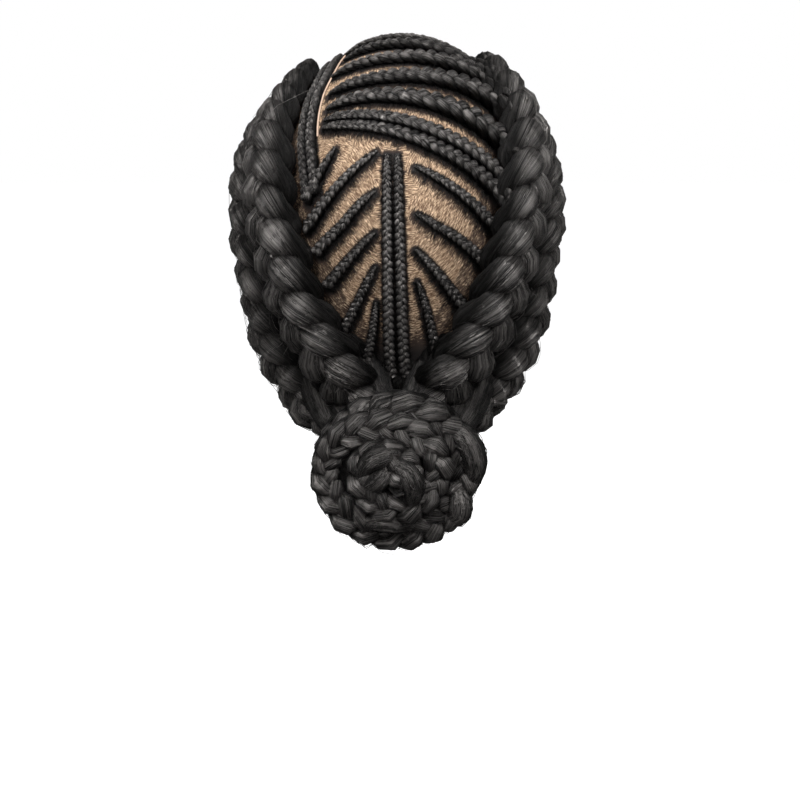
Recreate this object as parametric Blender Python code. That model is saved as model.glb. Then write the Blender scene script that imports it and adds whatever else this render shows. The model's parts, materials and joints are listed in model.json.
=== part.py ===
"""Braided wig: a lace cap with cornrows, four jumbo side plaits and a coiled bun at the nape.

Metres. +X is the wearer's right, +Y the face, +Z up. The origin is where the inside of the cap
sits on the crown of the head. An azimuth of 0 is the back of the head, and 90 the wearer's right.
A latitude of 90 is the crown, 0 the widest level of the head, and -90 the nape edge.
"""

from math import asin, atan2, ceil, cos, degrees, pi, radians, sin, sqrt

import bmesh
import bpy
from mathutils import Vector

# Head that the cap fits, measured inside the cap
HEAD_HALF_WIDTH = 0.076
HEAD_BACK = 0.097
HEAD_FRONT = 0.093
CROWN_HEIGHT = 0.103
NAPE_DROP = 0.100
NECK_HALF_WIDTH = 0.058
NECK_BACK = 0.062
NECK_FRONT = 0.070

# Lace cap
CAP_WALL = 0.0015
CAP_COLUMNS = 40
CAP_ROWS = 13

# Points that each line over the head is worked out at
LINE_POINTS = 160

# Clearances: a piece laid on the cap, and pieces side by side
SEAT_GAP = 0.0005
SIDE_GAP = 0.001

# Cornrows: height as a share of the width, the length between their sections, and how soon they
# grow from their first width to their last
ROW_RISE = 0.55
ROW_STEP = 0.0105
ROW_GROWTH = 0.7
ROW_SECTION = ((0.5, 0.0), (0.42, 0.62), (0.0, 1.0), (-0.42, 0.62), (-0.5, 0.0))

# Jumbo plaits: one strand's full crossing takes JUMBO_CROSSING_RATIO widths, two side by side settle
# between each other's lobes, and each narrows to a tip that tucks in behind the bun
JUMBO_WIDTH = 0.042
JUMBO_THICKNESS_SHARE = 0.64
JUMBO_CROSSING_RATIO = 1.5
RINGS_PER_CROSSING = 12
OUTER_JUMBO_SHARE = 0.92
OUTER_JUMBO_START_SHARE = 0.02
JUMBO_SETTLE = 0.0025
JUMBO_TIP = 0.018
JUMBO_TIP_SHARE = 0.5
JUMBO_TIP_ROOM = 0.002

# A plait's three strands, as shares of its width and thickness
STRAND_WIDTH_SHARE = 0.27
STRAND_DEPTH_SHARE = 0.34

# Directions in which a plait's outline is taken, from its edge over its top, with few below
OUTLINE_TURNS = (0, 36, 72, 108, 144, 180, 242, 298)

# Bun: coils of a slimmer plait, stacked outwards over the gathered tails. An inset is how much
# smaller a coil's ring is than the outer one's, and a sink is how deep its lobes settle between
# those of the coil behind it.
BUN_BELOW_NAPE = 0.041
BUN_LEAN_DEGREES = 4.0
BUN_HALF_WIDTH = 0.052
BUN_HALF_HEIGHT = 0.046
OUTER_COIL_SIZE = 0.022
BACK_COIL_SIZE = 0.020
FACE_COIL_SIZE = 0.016
KNOT_SIZE = 0.013
KNOT_REACH = 0.0072
BACK_COIL_INSET = 0.004
FACE_COIL_INSET = 0.0145
OUTER_COIL_SINK = 0.0018
FACE_COIL_SINK = 0.0003
KNOT_SINK = 0.0012
BACK_COIL_LOBES = 15
OUTER_COIL_LOBES = 15
FACE_COIL_LOBES = 12
KNOT_LOBES = 6
RINGS_PER_LOBE = 4

# Edge of the cap round the head, from the nape past the ears to the forehead: azimuth, latitude
HAIRLINE = (
    (0, -98),
    (38, -93),
    (60, -76),
    (80, -42),
    (95, -8),
    (106, -3),
    (117, -13),
    (126, 0),
    (138, 15),
    (155, 27),
    (180, 31),
)

# Inner jumbo plait on the right, from the forehead to the bun: azimuth, latitude, share of JUMBO_WIDTH
INNER_JUMBO = (
    (134, 31, 0.42),
    (112, 45, 0.54),
    (93, 50, 0.66),
    (79, 45, 0.80),
    (71, 35, 0.92),
    (63, 23, 1.0),
    (55, 11, 1.0),
    (50, -2, 1.0),
    (44, -25, 1.0),
    (39, -44, 1.0),
    (31, -61, 0.97),
    (23, -78, 0.88),
    (17, -94, 0.74),
    (13, -108, 0.6),
)

# Cornrows that are laid over the scalp. Start, middle and end are azimuth and latitude, and the
# widths are where the row starts and where it feeds a jumbo plait. A count of 2 is a pair.
# name, start, middle, end, first width, last width, count
CORNROWS = (
    ("crown_row_1", (-149, 34), (178, 42), (143, 35), 0.005, 0.010, 1),
    ("crown_row_2", (-141, 44), (176, 54), (133, 44), 0.005, 0.010, 1),
    ("crown_row_3", (-128, 54), (172, 66), (120, 51), 0.005, 0.010, 1),
    ("crown_row_4", (-108, 62), (150, 79), (106, 57), 0.005, 0.011, 1),
    ("crown_row_5", (-84, 65), (20, 87), (90, 61), 0.005, 0.011, 1),
    ("crown_row_6", (-63, 63), (12, 76), (76, 58), 0.005, 0.011, 1),
    ("crown_row_7", (-55, 53), (5, 64), (73, 50), 0.005, 0.012, 1),
    ("crown_row_8", (-46, 45), (8, 53), (67, 40), 0.005, 0.013, 1),
    ("crown_row_9", (-42, 39), (10, 43), (60, 24), 0.005, 0.014, 1),
    ("crown_pair", (-41, 33), (8, 31), (52, 11), 0.004, 0.0105, 2),
    ("centre_pair", (-2, 23), (-1, -14), (3, -70), 0.0048, 0.0068, 2),
    ("left_row_1", (-30, 25), (-35, 17), (-42, 7), 0.003, 0.008, 1),
    ("left_row_2", (-9, 24), (-25, 13), (-42, -3), 0.003, 0.008, 1),
    ("left_row_3", (-9, 11), (-21, 2), (-36, -15), 0.003, 0.008, 1),
    ("left_row_4", (-9, -3), (-20, -17), (-32, -33), 0.003, 0.0075, 1),
    ("left_row_5", (-9, -21), (-16, -37), (-25, -55), 0.003, 0.0065, 1),
    ("left_row_6", (-9, -40), (-11, -55), (-15, -71), 0.003, 0.006, 1),
    ("right_row_1", (8, 19), (28, 10), (46, -2), 0.003, 0.0085, 1),
    ("right_row_2", (8, 4), (24, -5), (41, -21), 0.003, 0.008, 1),
    ("right_row_3", (8, -12), (18, -25), (31, -43), 0.003, 0.0075, 1),
    ("right_row_4", (9, -29), (14, -46), (20, -68), 0.003, 0.0065, 1),
)

# Pair of cornrows along the parting, tucked under the edge of the left jumbo: widths, how far out
# the first lies as a share of the jumbo's width, and where along the jumbo the pair ends
PARTING_ROW_WIDTHS = (0.0048, 0.0068)
PARTING_TUCK_SHARE = 0.31
PARTING_ROW_END_SHARE = 0.445

# Gathered tails inside the bun: depth in front of the back coil as a share of the face coil's, and
# size as a share of the hole in the back coil
TAILS = (
    (-0.27, 0.70),
    (0.0, 1.02),
    (0.33, 1.1),
    (0.63, 1.02),
    (0.85, 0.68),
)
TAIL_SIDES = 12


def clear_scene():
    for thing in list(bpy.data.objects):
        bpy.data.objects.remove(thing)


def finish(name, colour, roughness):
    material = bpy.data.materials.new(name)
    material.use_nodes = True
    shader = material.node_tree.nodes["Principled BSDF"]
    shader.inputs["Base Color"].default_value = (*colour, 1.0)
    shader.inputs["Roughness"].default_value = roughness
    shader.inputs["Metallic"].default_value = 0.0
    return material


def show(name, build, material):
    """Turns a bmesh into a named object with faces out and round parts shaded smooth."""
    mesh = bpy.data.meshes.new(name)
    bmesh.ops.recalc_face_normals(build, faces=build.faces)
    build.to_mesh(mesh)
    build.free()
    mesh.shade_smooth()
    mesh.set_sharp_from_angle(angle=radians(60))
    mesh.materials.append(material)
    bpy.context.scene.collection.objects.link(bpy.data.objects.new(name, mesh))


# Head form: an ellipsoid above its widest level, and sections that narrow to the neck below it


def section(height, grow):
    """Half width and half lengths to the back and the front, at a height from the widest level."""
    down = min(max(-height / NAPE_DROP, 0.0), 1.0) ** 2
    return (
        HEAD_HALF_WIDTH + (NECK_HALF_WIDTH - HEAD_HALF_WIDTH) * down + grow,
        HEAD_BACK + (NECK_BACK - HEAD_BACK) * down + grow,
        HEAD_FRONT + (NECK_FRONT - HEAD_FRONT) * down + grow,
    )


def head_point(azimuth, latitude, grow=CAP_WALL):
    """A point on the head form, or on the form grown by a wall."""
    turn = radians(azimuth)
    if latitude > 0:
        height = (CROWN_HEIGHT + grow) * sin(radians(latitude))
        reach = cos(radians(latitude))
    else:
        height = NAPE_DROP * latitude / 90
        reach = 1.0
    half_width, back, front = section(height, grow)
    length = back if cos(turn) > 0 else front
    x = half_width * sin(turn) * reach
    y = -length * cos(turn) * reach
    return Vector((x, y, height - CROWN_HEIGHT))


def level(point, grow):
    """1 on the grown head form, less inside it and more outside it."""
    height = point.z + CROWN_HEIGHT
    half_width, back, front = section(height, grow)
    length = back if point.y < 0 else front
    total = (point.x / half_width) ** 2 + (point.y / length) ** 2
    if height > 0:
        total += (height / (CROWN_HEIGHT + grow)) ** 2
    return sqrt(total)


def head_normal(point, grow=CAP_WALL, step=0.0002):
    """The direction straight off the head form at a point."""
    slope = []
    for axis in range(3):
        move = Vector((0.0, 0.0, 0.0))
        move[axis] = step
        slope.append(level(point + move, grow) - level(point - move, grow))
    return Vector(slope).normalized()


def on_form(point, grow=CAP_WALL):
    """The point, moved in or out to the grown head form."""
    ratio = level(point, grow)
    if point.z + CROWN_HEIGHT > 0:
        centre = Vector((0.0, 0.0, -CROWN_HEIGHT))
        return centre + (point - centre) / ratio
    return Vector((point.x / ratio, point.y / ratio, point.z))


def seated(point):
    """The point, moved out where it would be nearer to the cap than the gap."""
    if level(point, CAP_WALL + SEAT_GAP) >= 1.0:
        return point
    return on_form(point, CAP_WALL + SEAT_GAP)


def direction(azimuth, latitude):
    turn = radians(azimuth)
    rise = radians(latitude)
    return Vector((sin(turn) * cos(rise), -cos(turn) * cos(rise), sin(rise)))


def angles(way):
    return degrees(atan2(way.x, -way.y)), degrees(asin(max(-1.0, min(1.0, way.z))))


# Lines over the head


def smooth(stations, share):
    """Catmull-Rom through rows of numbers, at a share of the way from the first to the last."""
    place = share * (len(stations) - 1)
    i = min(int(place), len(stations) - 2)
    t = place - i
    rows = [stations[min(max(i + k, 0), len(stations) - 1)] for k in (-1, 0, 1, 2)]
    return [
        0.5 * (2 * b + (c - a) * t + (2 * a - 5 * b + 4 * c - d) * t**2 + (3 * b - a - 3 * c + d) * t**3)
        for a, b, c, d in zip(*rows)
    ]


def paced(points, values, pace):
    """The line and its values at steps that pace works out from the value there."""
    out_points, out_values = [points[0]], [values[0]]
    left = pace(values[0])
    for (a, b), (low, high) in zip(zip(points, points[1:]), zip(values, values[1:])):
        length = (b - a).length
        at = 0.0
        while length - at >= left:
            at += left
            share = at / length
            out_points.append(a.lerp(b, share))
            out_values.append(low + (high - low) * share)
            left = pace(out_values[-1])
        left -= length - at
    return out_points, out_values


def lengths(points):
    """How far along the line each of its points lies."""
    along = [0.0]
    for a, b in zip(points, points[1:]):
        along.append(along[-1] + (b - a).length)
    return along


def tangents(points, closed=False):
    last = len(points) - 1
    if closed:
        return [points[(i + 1) % (last + 1)] - points[i - 1] for i in range(last + 1)]
    return [points[min(i + 1, last)] - points[max(i - 1, 0)] for i in range(last + 1)]


def beside(points, reaches):
    """A line over the cap beside another, at distances to the left of its run, seen from outside."""
    out = []
    for point, tangent, reach in zip(points, tangents(points), reaches):
        side = head_normal(point).cross(tangent).normalized()
        share = reach
        for _ in range(3):
            moved = on_form(point + side * share)
            share *= abs(reach) / (moved - point).length
        out.append(moved)
    return out


def clear_run(points, rooms, obstacles):
    """The first and last place of the longest stretch that keeps its room from each obstacle, a
    list of points with half widths."""
    best, start = (0, 0), None
    for i, (point, room) in enumerate(zip(points + [None], rooms + [0.0])):
        free = point is not None and all(
            (point - other).length > room + half + SIDE_GAP for other, half in obstacles
        )
        if free and start is None:
            start = i
        if not free and start is not None:
            if i - start > best[1] - best[0]:
                best = (start, i)
            start = None
    return best


# Three-strand plaits


def plait_outline(phase, width, thickness):
    """The outline of three crossing strands, cut across. Each strand sways from edge to edge, and
    rides over the others on its way out from the middle."""
    strand_x = width * STRAND_WIDTH_SHARE
    strand_y = thickness * STRAND_DEPTH_SHARE
    sway = width / 2 - strand_x
    rise = thickness / 2 - strand_y
    middles = []
    for k in range(3):
        turn = phase + 2 * pi * k / 3
        middles.append((sway * sin(turn) / strand_x, rise * sin(2 * turn) / strand_y))
    outline = []
    for turn in OUTLINE_TURNS:
        way_x = cos(radians(turn)) / strand_x
        way_y = sin(radians(turn)) / strand_y
        scale = sqrt(way_x**2 + way_y**2)
        way_x, way_y = way_x / scale, way_y / scale
        reach = 0.0
        for middle_x, middle_y in middles:
            toward = way_x * middle_x + way_y * middle_y
            under = toward**2 - middle_x**2 - middle_y**2 + 1
            if under > 0:
                reach = max(reach, toward + sqrt(under))
        outline.append((reach * way_x * strand_x, reach * way_y * strand_y))
    return outline


def plait(name, points, normals, sizes, thickness_share, crossing, material, closed=False):
    """A plait along a line. sizes are its widths, and crossing is how many widths long one
    strand's way there and back is."""
    build = bmesh.new()
    loops = []
    phase = 0.0
    for i, (tangent, normal) in enumerate(zip(tangents(points, closed), normals)):
        side = normal.cross(tangent).normalized()
        out = tangent.cross(side).normalized()
        if i:
            run = (points[i] - points[i - 1]).length
            phase += 2 * pi * run / (crossing * (sizes[i] + sizes[i - 1]) / 2)
        outline = plait_outline(phase, sizes[i], sizes[i] * thickness_share)
        loops.append([build.verts.new(seated(points[i] + side * x + out * y)) for x, y in outline])
    pairs = list(zip(loops, loops[1:]))
    if closed:
        pairs.append((loops[-1], loops[0]))
    else:
        build.faces.new(loops[0])
        build.faces.new(loops[-1])
    for first, second in pairs:
        for j in range(len(first)):
            build.faces.new((first[j - 1], first[j], second[j], second[j - 1]))
    show(name, build, material)


# Lace cap: a thin shell from the crown to the hairline, open below


def hairline_latitude(azimuth):
    turn = abs((azimuth + 180) % 360 - 180)
    for (a, low), (b, high) in zip(HAIRLINE, HAIRLINE[1:]):
        if turn <= b:
            share = (turn - a) / (b - a)
            return low + (high - low) * (1 - cos(pi * share)) / 2
    return HAIRLINE[-1][1]


def make_cap(material):
    build = bmesh.new()
    edges = []
    for grow in (0.0, CAP_WALL):
        crown = build.verts.new(head_point(0, 90, grow))
        above = None
        for row in range(1, CAP_ROWS + 1):
            ring = []
            for column in range(CAP_COLUMNS):
                azimuth = 360 * column / CAP_COLUMNS
                latitude = 90 + (hairline_latitude(azimuth) - 90) * row / CAP_ROWS
                ring.append(build.verts.new(head_point(azimuth, latitude, grow)))
            for a in range(CAP_COLUMNS):
                b = (a + 1) % CAP_COLUMNS
                corners = (above[b], above[a]) if above else (crown,)
                build.faces.new((ring[a], ring[b], *corners))
            above = ring
        edges.append(above)
    inner, outer = edges
    for a in range(CAP_COLUMNS):
        b = (a + 1) % CAP_COLUMNS
        build.faces.new((inner[a], inner[b], outer[b], outer[a]))
    show("lace_cap", build, material)


# Jumbo plaits


def mirrored(points):
    return [Vector((-point.x, point.y, point.z)) for point in points]


def jumbo_lines():
    """Lines on the cap under the two jumbo plaits on the right, with their widths."""
    stations = [smooth(INNER_JUMBO, i / LINE_POINTS) for i in range(LINE_POINTS + 1)]
    inner = [head_point(azimuth, latitude) for azimuth, latitude, _ in stations]
    inner_sizes = [JUMBO_WIDTH * share for _, _, share in stations]
    first = round(OUTER_JUMBO_START_SHARE * LINE_POINTS)
    outer_sizes = [size * OUTER_JUMBO_SHARE for size in inner_sizes]
    reaches = [(a + b) / 2 + SIDE_GAP - JUMBO_SETTLE for a, b in zip(inner_sizes, outer_sizes)]
    outer = beside(inner, reaches)
    return {"inner": (inner, inner_sizes), "outer": (outer[first:], outer_sizes[first:])}


def lift(points, sizes):
    """Middles of plaits that lie on the cap along a line, and the directions off the cap."""
    normals = [head_normal(point) for point in points]
    middles = [
        point + normal * (SEAT_GAP + size * JUMBO_THICKNESS_SHARE / 2)
        for point, normal, size in zip(points, normals, sizes)
    ]
    return middles, normals


def make_jumbos(bun, material):
    """Makes the four jumbo plaits and returns their middles with their half widths."""
    laid = []
    for part, (points, sizes) in jumbo_lines().items():
        points, sizes = paced(points, sizes, lambda size: size * JUMBO_CROSSING_RATIO / RINGS_PER_CROSSING)
        middles, normals = lift(points, sizes)
        first, last = clear_run(middles, [JUMBO_TIP_ROOM] * len(middles), bun)
        ends = lengths(middles[:last])
        for i in range(last):
            tip = max(0.0, 1 - (ends[-1] - ends[i]) / JUMBO_TIP)
            sizes[i] *= 1 - (1 - JUMBO_TIP_SHARE) * tip**2
        for hand, flip in (("right", list), ("left", mirrored)):
            plait(
                f"{part}_jumbo_{hand}",
                flip(middles[first:last]),
                flip(normals[first:last]),
                sizes[first:last],
                JUMBO_THICKNESS_SHARE,
                JUMBO_CROSSING_RATIO,
                material,
            )
            laid += [(point, size / 2) for point, size in zip(flip(middles), sizes)]
    return laid


# Cornrows


def row_line(start, middle, end):
    """An even bow over the head from start to end through the middle."""
    ways = [direction(*station) for station in (start, middle, end)]
    bend = 2 * ways[1] - (ways[0] + ways[2]) / 2
    points = []
    for i in range(LINE_POINTS + 1):
        t = i / LINE_POINTS
        way = ways[0] * (1 - t) ** 2 + bend * 2 * t * (1 - t) + ways[2] * t**2
        points.append(head_point(*angles(way.normalized())))
    return points


def row_widths(points, first_width, last_width):
    """A cornrow's widths along its line. It starts thin and grows as hair is fed in."""
    along = lengths(points)
    return [first_width + (last_width - first_width) * (a / along[-1]) ** ROW_GROWTH for a in along]


def ridge(name, points, widths, material):
    """A cornrow as a round-topped ridge on the cap, in equal steps from end to end."""
    total = lengths(points)[-1]
    rounding = 1 - 1e-4
    step = rounding * total / ceil(total / ROW_STEP)
    points, widths = paced(points, widths, lambda _: step)
    build = bmesh.new()
    loops = []
    for point, width, tangent in zip(points, widths, tangents(points)):
        normal = head_normal(point)
        side = normal.cross(tangent).normalized()
        ring = []
        for across, up in ROW_SECTION:
            place = point + side * (across * width) + normal * (SEAT_GAP + up * width * ROW_RISE)
            ring.append(build.verts.new(seated(place)))
        loops.append(ring)
    build.faces.new(loops[0])
    build.faces.new(loops[-1])
    for first, second in zip(loops, loops[1:]):
        for j in range(len(first)):
            build.faces.new((first[j - 1], first[j], second[j], second[j - 1]))
    show(name, build, material)


def make_parting_pair(material):
    """Two cornrows along the parting, beside the left jumbo. Returns them as obstacles."""
    points, sizes = jumbo_lines()["inner"]
    points = mirrored(points[: round(PARTING_ROW_END_SHARE * len(points))])
    laid = []
    width = PARTING_ROW_WIDTHS[1]
    reaches = [size * PARTING_TUCK_SHARE + SIDE_GAP + width / 2 for size in sizes[: len(points)]]
    for name in ("parting_row_lower", "parting_row_upper"):
        line = beside(points, reaches)
        ridge(name, line, row_widths(line, *PARTING_ROW_WIDTHS), material)
        laid += [(point, width / 2) for point in line]
        reaches = [reach + width + SIDE_GAP for reach in reaches]
    return laid


def make_cornrows(obstacles, material):
    for name, start, middle, end, first_width, last_width, count in CORNROWS:
        centre = row_line(start, middle, end)
        widths = row_widths(centre, first_width, last_width)
        lines = {name: centre}
        if count == 2:
            reaches = [(width + SIDE_GAP) / 2 for width in widths]
            lines = {
                f"{name}_1": beside(centre, reaches),
                f"{name}_2": beside(centre, [-reach for reach in reaches]),
            }
        for line_name, line in lines.items():
            raised = [p + head_normal(p) * (SEAT_GAP + w * ROW_RISE) for p, w in zip(line, widths)]
            first, last = clear_run(raised, [width / 2 for width in widths], obstacles)
            ridge(line_name, line[first:last], widths[first:last], material)


# Bun


def bun_axes():
    """Up and outward directions of the bun, which leans down a little."""
    lean = radians(BUN_LEAN_DEGREES)
    return Vector((0, -sin(lean), cos(lean))), Vector((0, -cos(lean), -sin(lean)))


def bun_middle():
    """The middle of the back coil, whose top lies against the nape."""
    out = NECK_BACK + CAP_WALL + SIDE_GAP + BACK_COIL_SIZE / 2
    top = BUN_HALF_HEIGHT - OUTER_COIL_SIZE / 2 - BACK_COIL_INSET
    height = -CROWN_HEIGHT - NAPE_DROP - BUN_BELOW_NAPE
    return Vector((0.0, top * sin(radians(BUN_LEAN_DEGREES)) - out, height))


def nested(first_size, second_size, inset, sink):
    """How far in front of one coil the next one lies, when its ring is smaller by the inset."""
    apart = (first_size + second_size) / 2 + SIDE_GAP - sink
    return sqrt(max(apart**2 - inset**2, 0.0))


def coils():
    """name, half width and half height of the coil's middle line, depth, size, lobes"""
    outer_x = BUN_HALF_WIDTH - OUTER_COIL_SIZE / 2
    outer_z = BUN_HALF_HEIGHT - OUTER_COIL_SIZE / 2
    outer_depth = nested(BACK_COIL_SIZE, OUTER_COIL_SIZE, BACK_COIL_INSET, OUTER_COIL_SINK)
    face_x = outer_x - FACE_COIL_INSET
    face_z = outer_z - FACE_COIL_INSET
    face_depth = outer_depth + nested(
        OUTER_COIL_SIZE, FACE_COIL_SIZE, FACE_COIL_INSET, FACE_COIL_SINK
    )
    knot_depth = face_depth + nested(FACE_COIL_SIZE, KNOT_SIZE, face_z - KNOT_REACH, KNOT_SINK)
    back_x = outer_x - BACK_COIL_INSET
    back_z = outer_z - BACK_COIL_INSET
    return (
        ("bun_back_coil", back_x, back_z, 0.0, BACK_COIL_SIZE, BACK_COIL_LOBES),
        ("bun_outer_coil", outer_x, outer_z, outer_depth, OUTER_COIL_SIZE, OUTER_COIL_LOBES),
        ("bun_face_coil", face_x, face_z, face_depth, FACE_COIL_SIZE, FACE_COIL_LOBES),
        ("bun_knot", KNOT_REACH, KNOT_REACH, knot_depth, KNOT_SIZE, KNOT_LOBES),
    )


def coil_line(half_width, half_height, depth, count):
    up, out = bun_axes()
    points = []
    for i in range(count):
        turn = 2 * pi * i / count
        flat = Vector((half_width * sin(turn), 0, 0)) + up * (half_height * cos(turn))
        points.append(bun_middle() + flat + out * depth)
    return points


def make_bun(material):
    """Makes the coils and the tails inside them, and returns the coils as obstacles."""
    _, out = bun_axes()
    laid = []
    for name, half_width, half_height, depth, size, lobes in coils():
        points = coil_line(half_width, half_height, depth, lobes * RINGS_PER_LOBE)
        around = lengths(points + points[:1])[-1]
        crossing = 3 * around / lobes / size
        sizes = [size] * len(points)
        plait(name, points, [out] * len(points), sizes, 1.0, crossing, material, True)
        laid += [(point, size / 2) for point in points]

    _, back_x, back_z, _, size, _ = coils()[0]
    face_depth = coils()[2][3]
    build = bmesh.new()
    loops = []
    for depth_share, share in TAILS:
        hole_x = (back_x - size / 2 - SIDE_GAP) * share
        hole_z = (back_z - size / 2 - SIDE_GAP) * share
        line = coil_line(hole_x, hole_z, face_depth * depth_share, TAIL_SIDES)
        loops.append([build.verts.new(seated(point)) for point in line])
    build.faces.new(loops[0])
    build.faces.new(loops[-1])
    for first, second in zip(loops, loops[1:]):
        for j in range(TAIL_SIDES):
            build.faces.new((first[j - 1], first[j], second[j], second[j - 1]))
    show("gathered_tails", build, material)
    return laid


def main():
    clear_scene()
    lace = finish("scalp_lace", (0.56, 0.36, 0.20), 0.8)
    hair = finish("braid_hair", (0.012, 0.011, 0.011), 0.5)
    make_cap(lace)
    bun = make_bun(hair)
    jumbos = make_jumbos(bun, hair)
    parting = make_parting_pair(hair)
    make_cornrows(jumbos + parting + bun, hair)


main()
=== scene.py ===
"""Dressing of the braided wig: lace cap, braided cornrows, jumbo plaits and a coiled bun."""

import json

import bpy
import numpy as np
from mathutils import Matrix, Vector
from mathutils.kdtree import KDTree

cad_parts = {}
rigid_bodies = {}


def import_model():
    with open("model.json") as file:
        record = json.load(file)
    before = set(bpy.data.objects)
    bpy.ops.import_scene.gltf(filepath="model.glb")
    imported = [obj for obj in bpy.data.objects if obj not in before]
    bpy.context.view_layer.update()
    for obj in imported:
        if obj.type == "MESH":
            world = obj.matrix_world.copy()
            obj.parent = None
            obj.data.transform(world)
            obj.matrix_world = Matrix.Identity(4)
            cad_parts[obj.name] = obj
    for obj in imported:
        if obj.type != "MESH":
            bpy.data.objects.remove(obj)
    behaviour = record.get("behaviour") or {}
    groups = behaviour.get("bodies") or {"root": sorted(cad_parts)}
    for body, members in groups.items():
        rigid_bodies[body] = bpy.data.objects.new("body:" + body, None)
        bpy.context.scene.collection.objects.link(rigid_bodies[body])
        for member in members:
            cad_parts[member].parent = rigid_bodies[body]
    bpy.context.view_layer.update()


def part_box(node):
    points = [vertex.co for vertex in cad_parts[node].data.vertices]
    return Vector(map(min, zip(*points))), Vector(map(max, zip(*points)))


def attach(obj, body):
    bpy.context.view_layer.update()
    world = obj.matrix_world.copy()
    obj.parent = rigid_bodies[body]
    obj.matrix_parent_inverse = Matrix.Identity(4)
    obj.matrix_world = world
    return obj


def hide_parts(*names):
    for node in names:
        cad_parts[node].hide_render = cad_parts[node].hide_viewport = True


bpy.ops.object.select_all(action="SELECT")
bpy.ops.object.delete()
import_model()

# Head form
# The cap is sewn to fit a head: rounded above the widest level, narrowing to the neck below it.
# All hair lies on this form. Azimuth 0 is the back, 90 the wearer's right, latitude 90 the crown.
HEAD_HALF_WIDTH = 0.076
HEAD_BACK = 0.097
HEAD_FRONT = 0.093
CROWN_HEIGHT = 0.103
NAPE_DROP = 0.100
NECK_HALF_WIDTH = 0.058
NECK_BACK = 0.062
NECK_FRONT = 0.070
CAP_WALL = 0.0015


def section(height, grow):
    """Half width, and lengths to the back and the front, at heights from the widest level."""
    down = np.clip(-height / NAPE_DROP, 0.0, 1.0) ** 2
    return (
        HEAD_HALF_WIDTH + (NECK_HALF_WIDTH - HEAD_HALF_WIDTH) * down + grow,
        HEAD_BACK + (NECK_BACK - HEAD_BACK) * down + grow,
        HEAD_FRONT + (NECK_FRONT - HEAD_FRONT) * down + grow,
    )


def head_points(azimuth, latitude, grow=CAP_WALL):
    """Points on the form, or on the form grown by a wall."""
    turn = np.radians(azimuth)
    rise = np.radians(np.clip(latitude, 0.0, 90.0))
    below = NAPE_DROP * np.minimum(latitude, 0.0) / 90
    height = (CROWN_HEIGHT + grow) * np.sin(rise) + below
    half_width, back, front = section(height, grow)
    length = np.where(np.cos(turn) > 0, back, front)
    x = half_width * np.sin(turn) * np.cos(rise)
    y = -length * np.cos(turn) * np.cos(rise)
    return np.stack([x, y, height - CROWN_HEIGHT], axis=-1)


def level(points, grow):
    """1 on the grown form, less inside it and more outside it."""
    height = points[..., 2] + CROWN_HEIGHT
    half_width, back, front = section(height, grow)
    length = np.where(points[..., 1] < 0, back, front)
    total = (points[..., 0] / half_width) ** 2 + (points[..., 1] / length) ** 2
    total += np.where(height > 0, height / (CROWN_HEIGHT + grow), 0.0) ** 2
    return np.sqrt(total)


def unit(ways):
    return ways / np.maximum(np.linalg.norm(ways, axis=-1, keepdims=True), 1e-12)


def normals_off(points, grow=CAP_WALL, step=0.0002):
    """Directions straight off the form."""
    slopes = []
    for axis in np.eye(3) * step:
        slopes.append(level(points + axis, grow) - level(points - axis, grow))
    return unit(np.stack(slopes, axis=-1))


def on_form(points, grow=CAP_WALL):
    """The points, moved in or out to the grown form."""
    ratio = level(points, grow)[..., None]
    centre = np.where(points[..., 2:3] > -CROWN_HEIGHT, [0.0, 0.0, -CROWN_HEIGHT], points * [0, 0, 1])
    return centre + (points - centre) / ratio


def smooth(stations, shares):
    """Catmull-Rom through rows of numbers, at shares of the way from the first to the last."""
    rows = np.asarray(stations, float)
    place = np.asarray(shares) * (len(rows) - 1)
    i = np.minimum(place.astype(int), len(rows) - 2)
    t = (place - i)[:, None]
    a, b, c, d = (rows[np.clip(i + k, 0, len(rows) - 1)] for k in (-1, 0, 1, 2))
    squared = (2 * a - 5 * b + 4 * c - d) * t**2
    cubed = (3 * b - a - 3 * c + d) * t**3
    return 0.5 * (2 * b + (c - a) * t + squared + cubed)


def lengths(points):
    """How far along the line each of its points lies."""
    return np.concatenate([[0.0], np.cumsum(np.linalg.norm(np.diff(points, axis=0), axis=1))])


def tangents(points):
    return unit(np.gradient(points, axis=0))


def beside(points, reaches):
    """A line over the cap beside another, at distances to the left of its run, seen from outside."""
    side = unit(np.cross(normals_off(points), tangents(points)))
    reaches = np.asarray(reaches)[:, None]
    share = reaches
    for _ in range(3):
        moved = on_form(points + side * share)
        share = share * np.abs(reaches) / np.linalg.norm(moved - points, axis=1, keepdims=True)
    return moved


# Paths of the plaits
# Each plait was worked along a parted line of the scalp. These are the lines under the four jumbo
# plaits and the cornrows, with the widths of the hair that was gathered into them.
LINE_POINTS = 160
SIDE_GAP = 0.001
JUMBO_WIDTH = 0.042
JUMBO_THICKNESS_SHARE = 0.64
OUTER_JUMBO_SHARE = 0.92
OUTER_JUMBO_START_SHARE = 0.02
JUMBO_SETTLE = 0.0025
ROW_RISE = 0.55
ROW_GROWTH = 0.7
PARTING_ROW_WIDTHS = (0.0048, 0.0068)
PARTING_TUCK_SHARE = 0.31
PARTING_ROW_END_SHARE = 0.52
# azimuth, latitude, share of JUMBO_WIDTH
INNER_JUMBO = (
    (134, 31, 0.42),
    (112, 45, 0.54),
    (93, 50, 0.66),
    (79, 45, 0.80),
    (71, 35, 0.92),
    (63, 23, 1.0),
    (55, 11, 1.0),
    (50, -2, 1.0),
    (44, -25, 1.0),
    (38.5, -44, 1.02),
    (29.5, -61, 1.03),
    (21, -78, 0.96),
    (15, -94, 0.82),
    (11, -108, 0.65),
)
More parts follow.
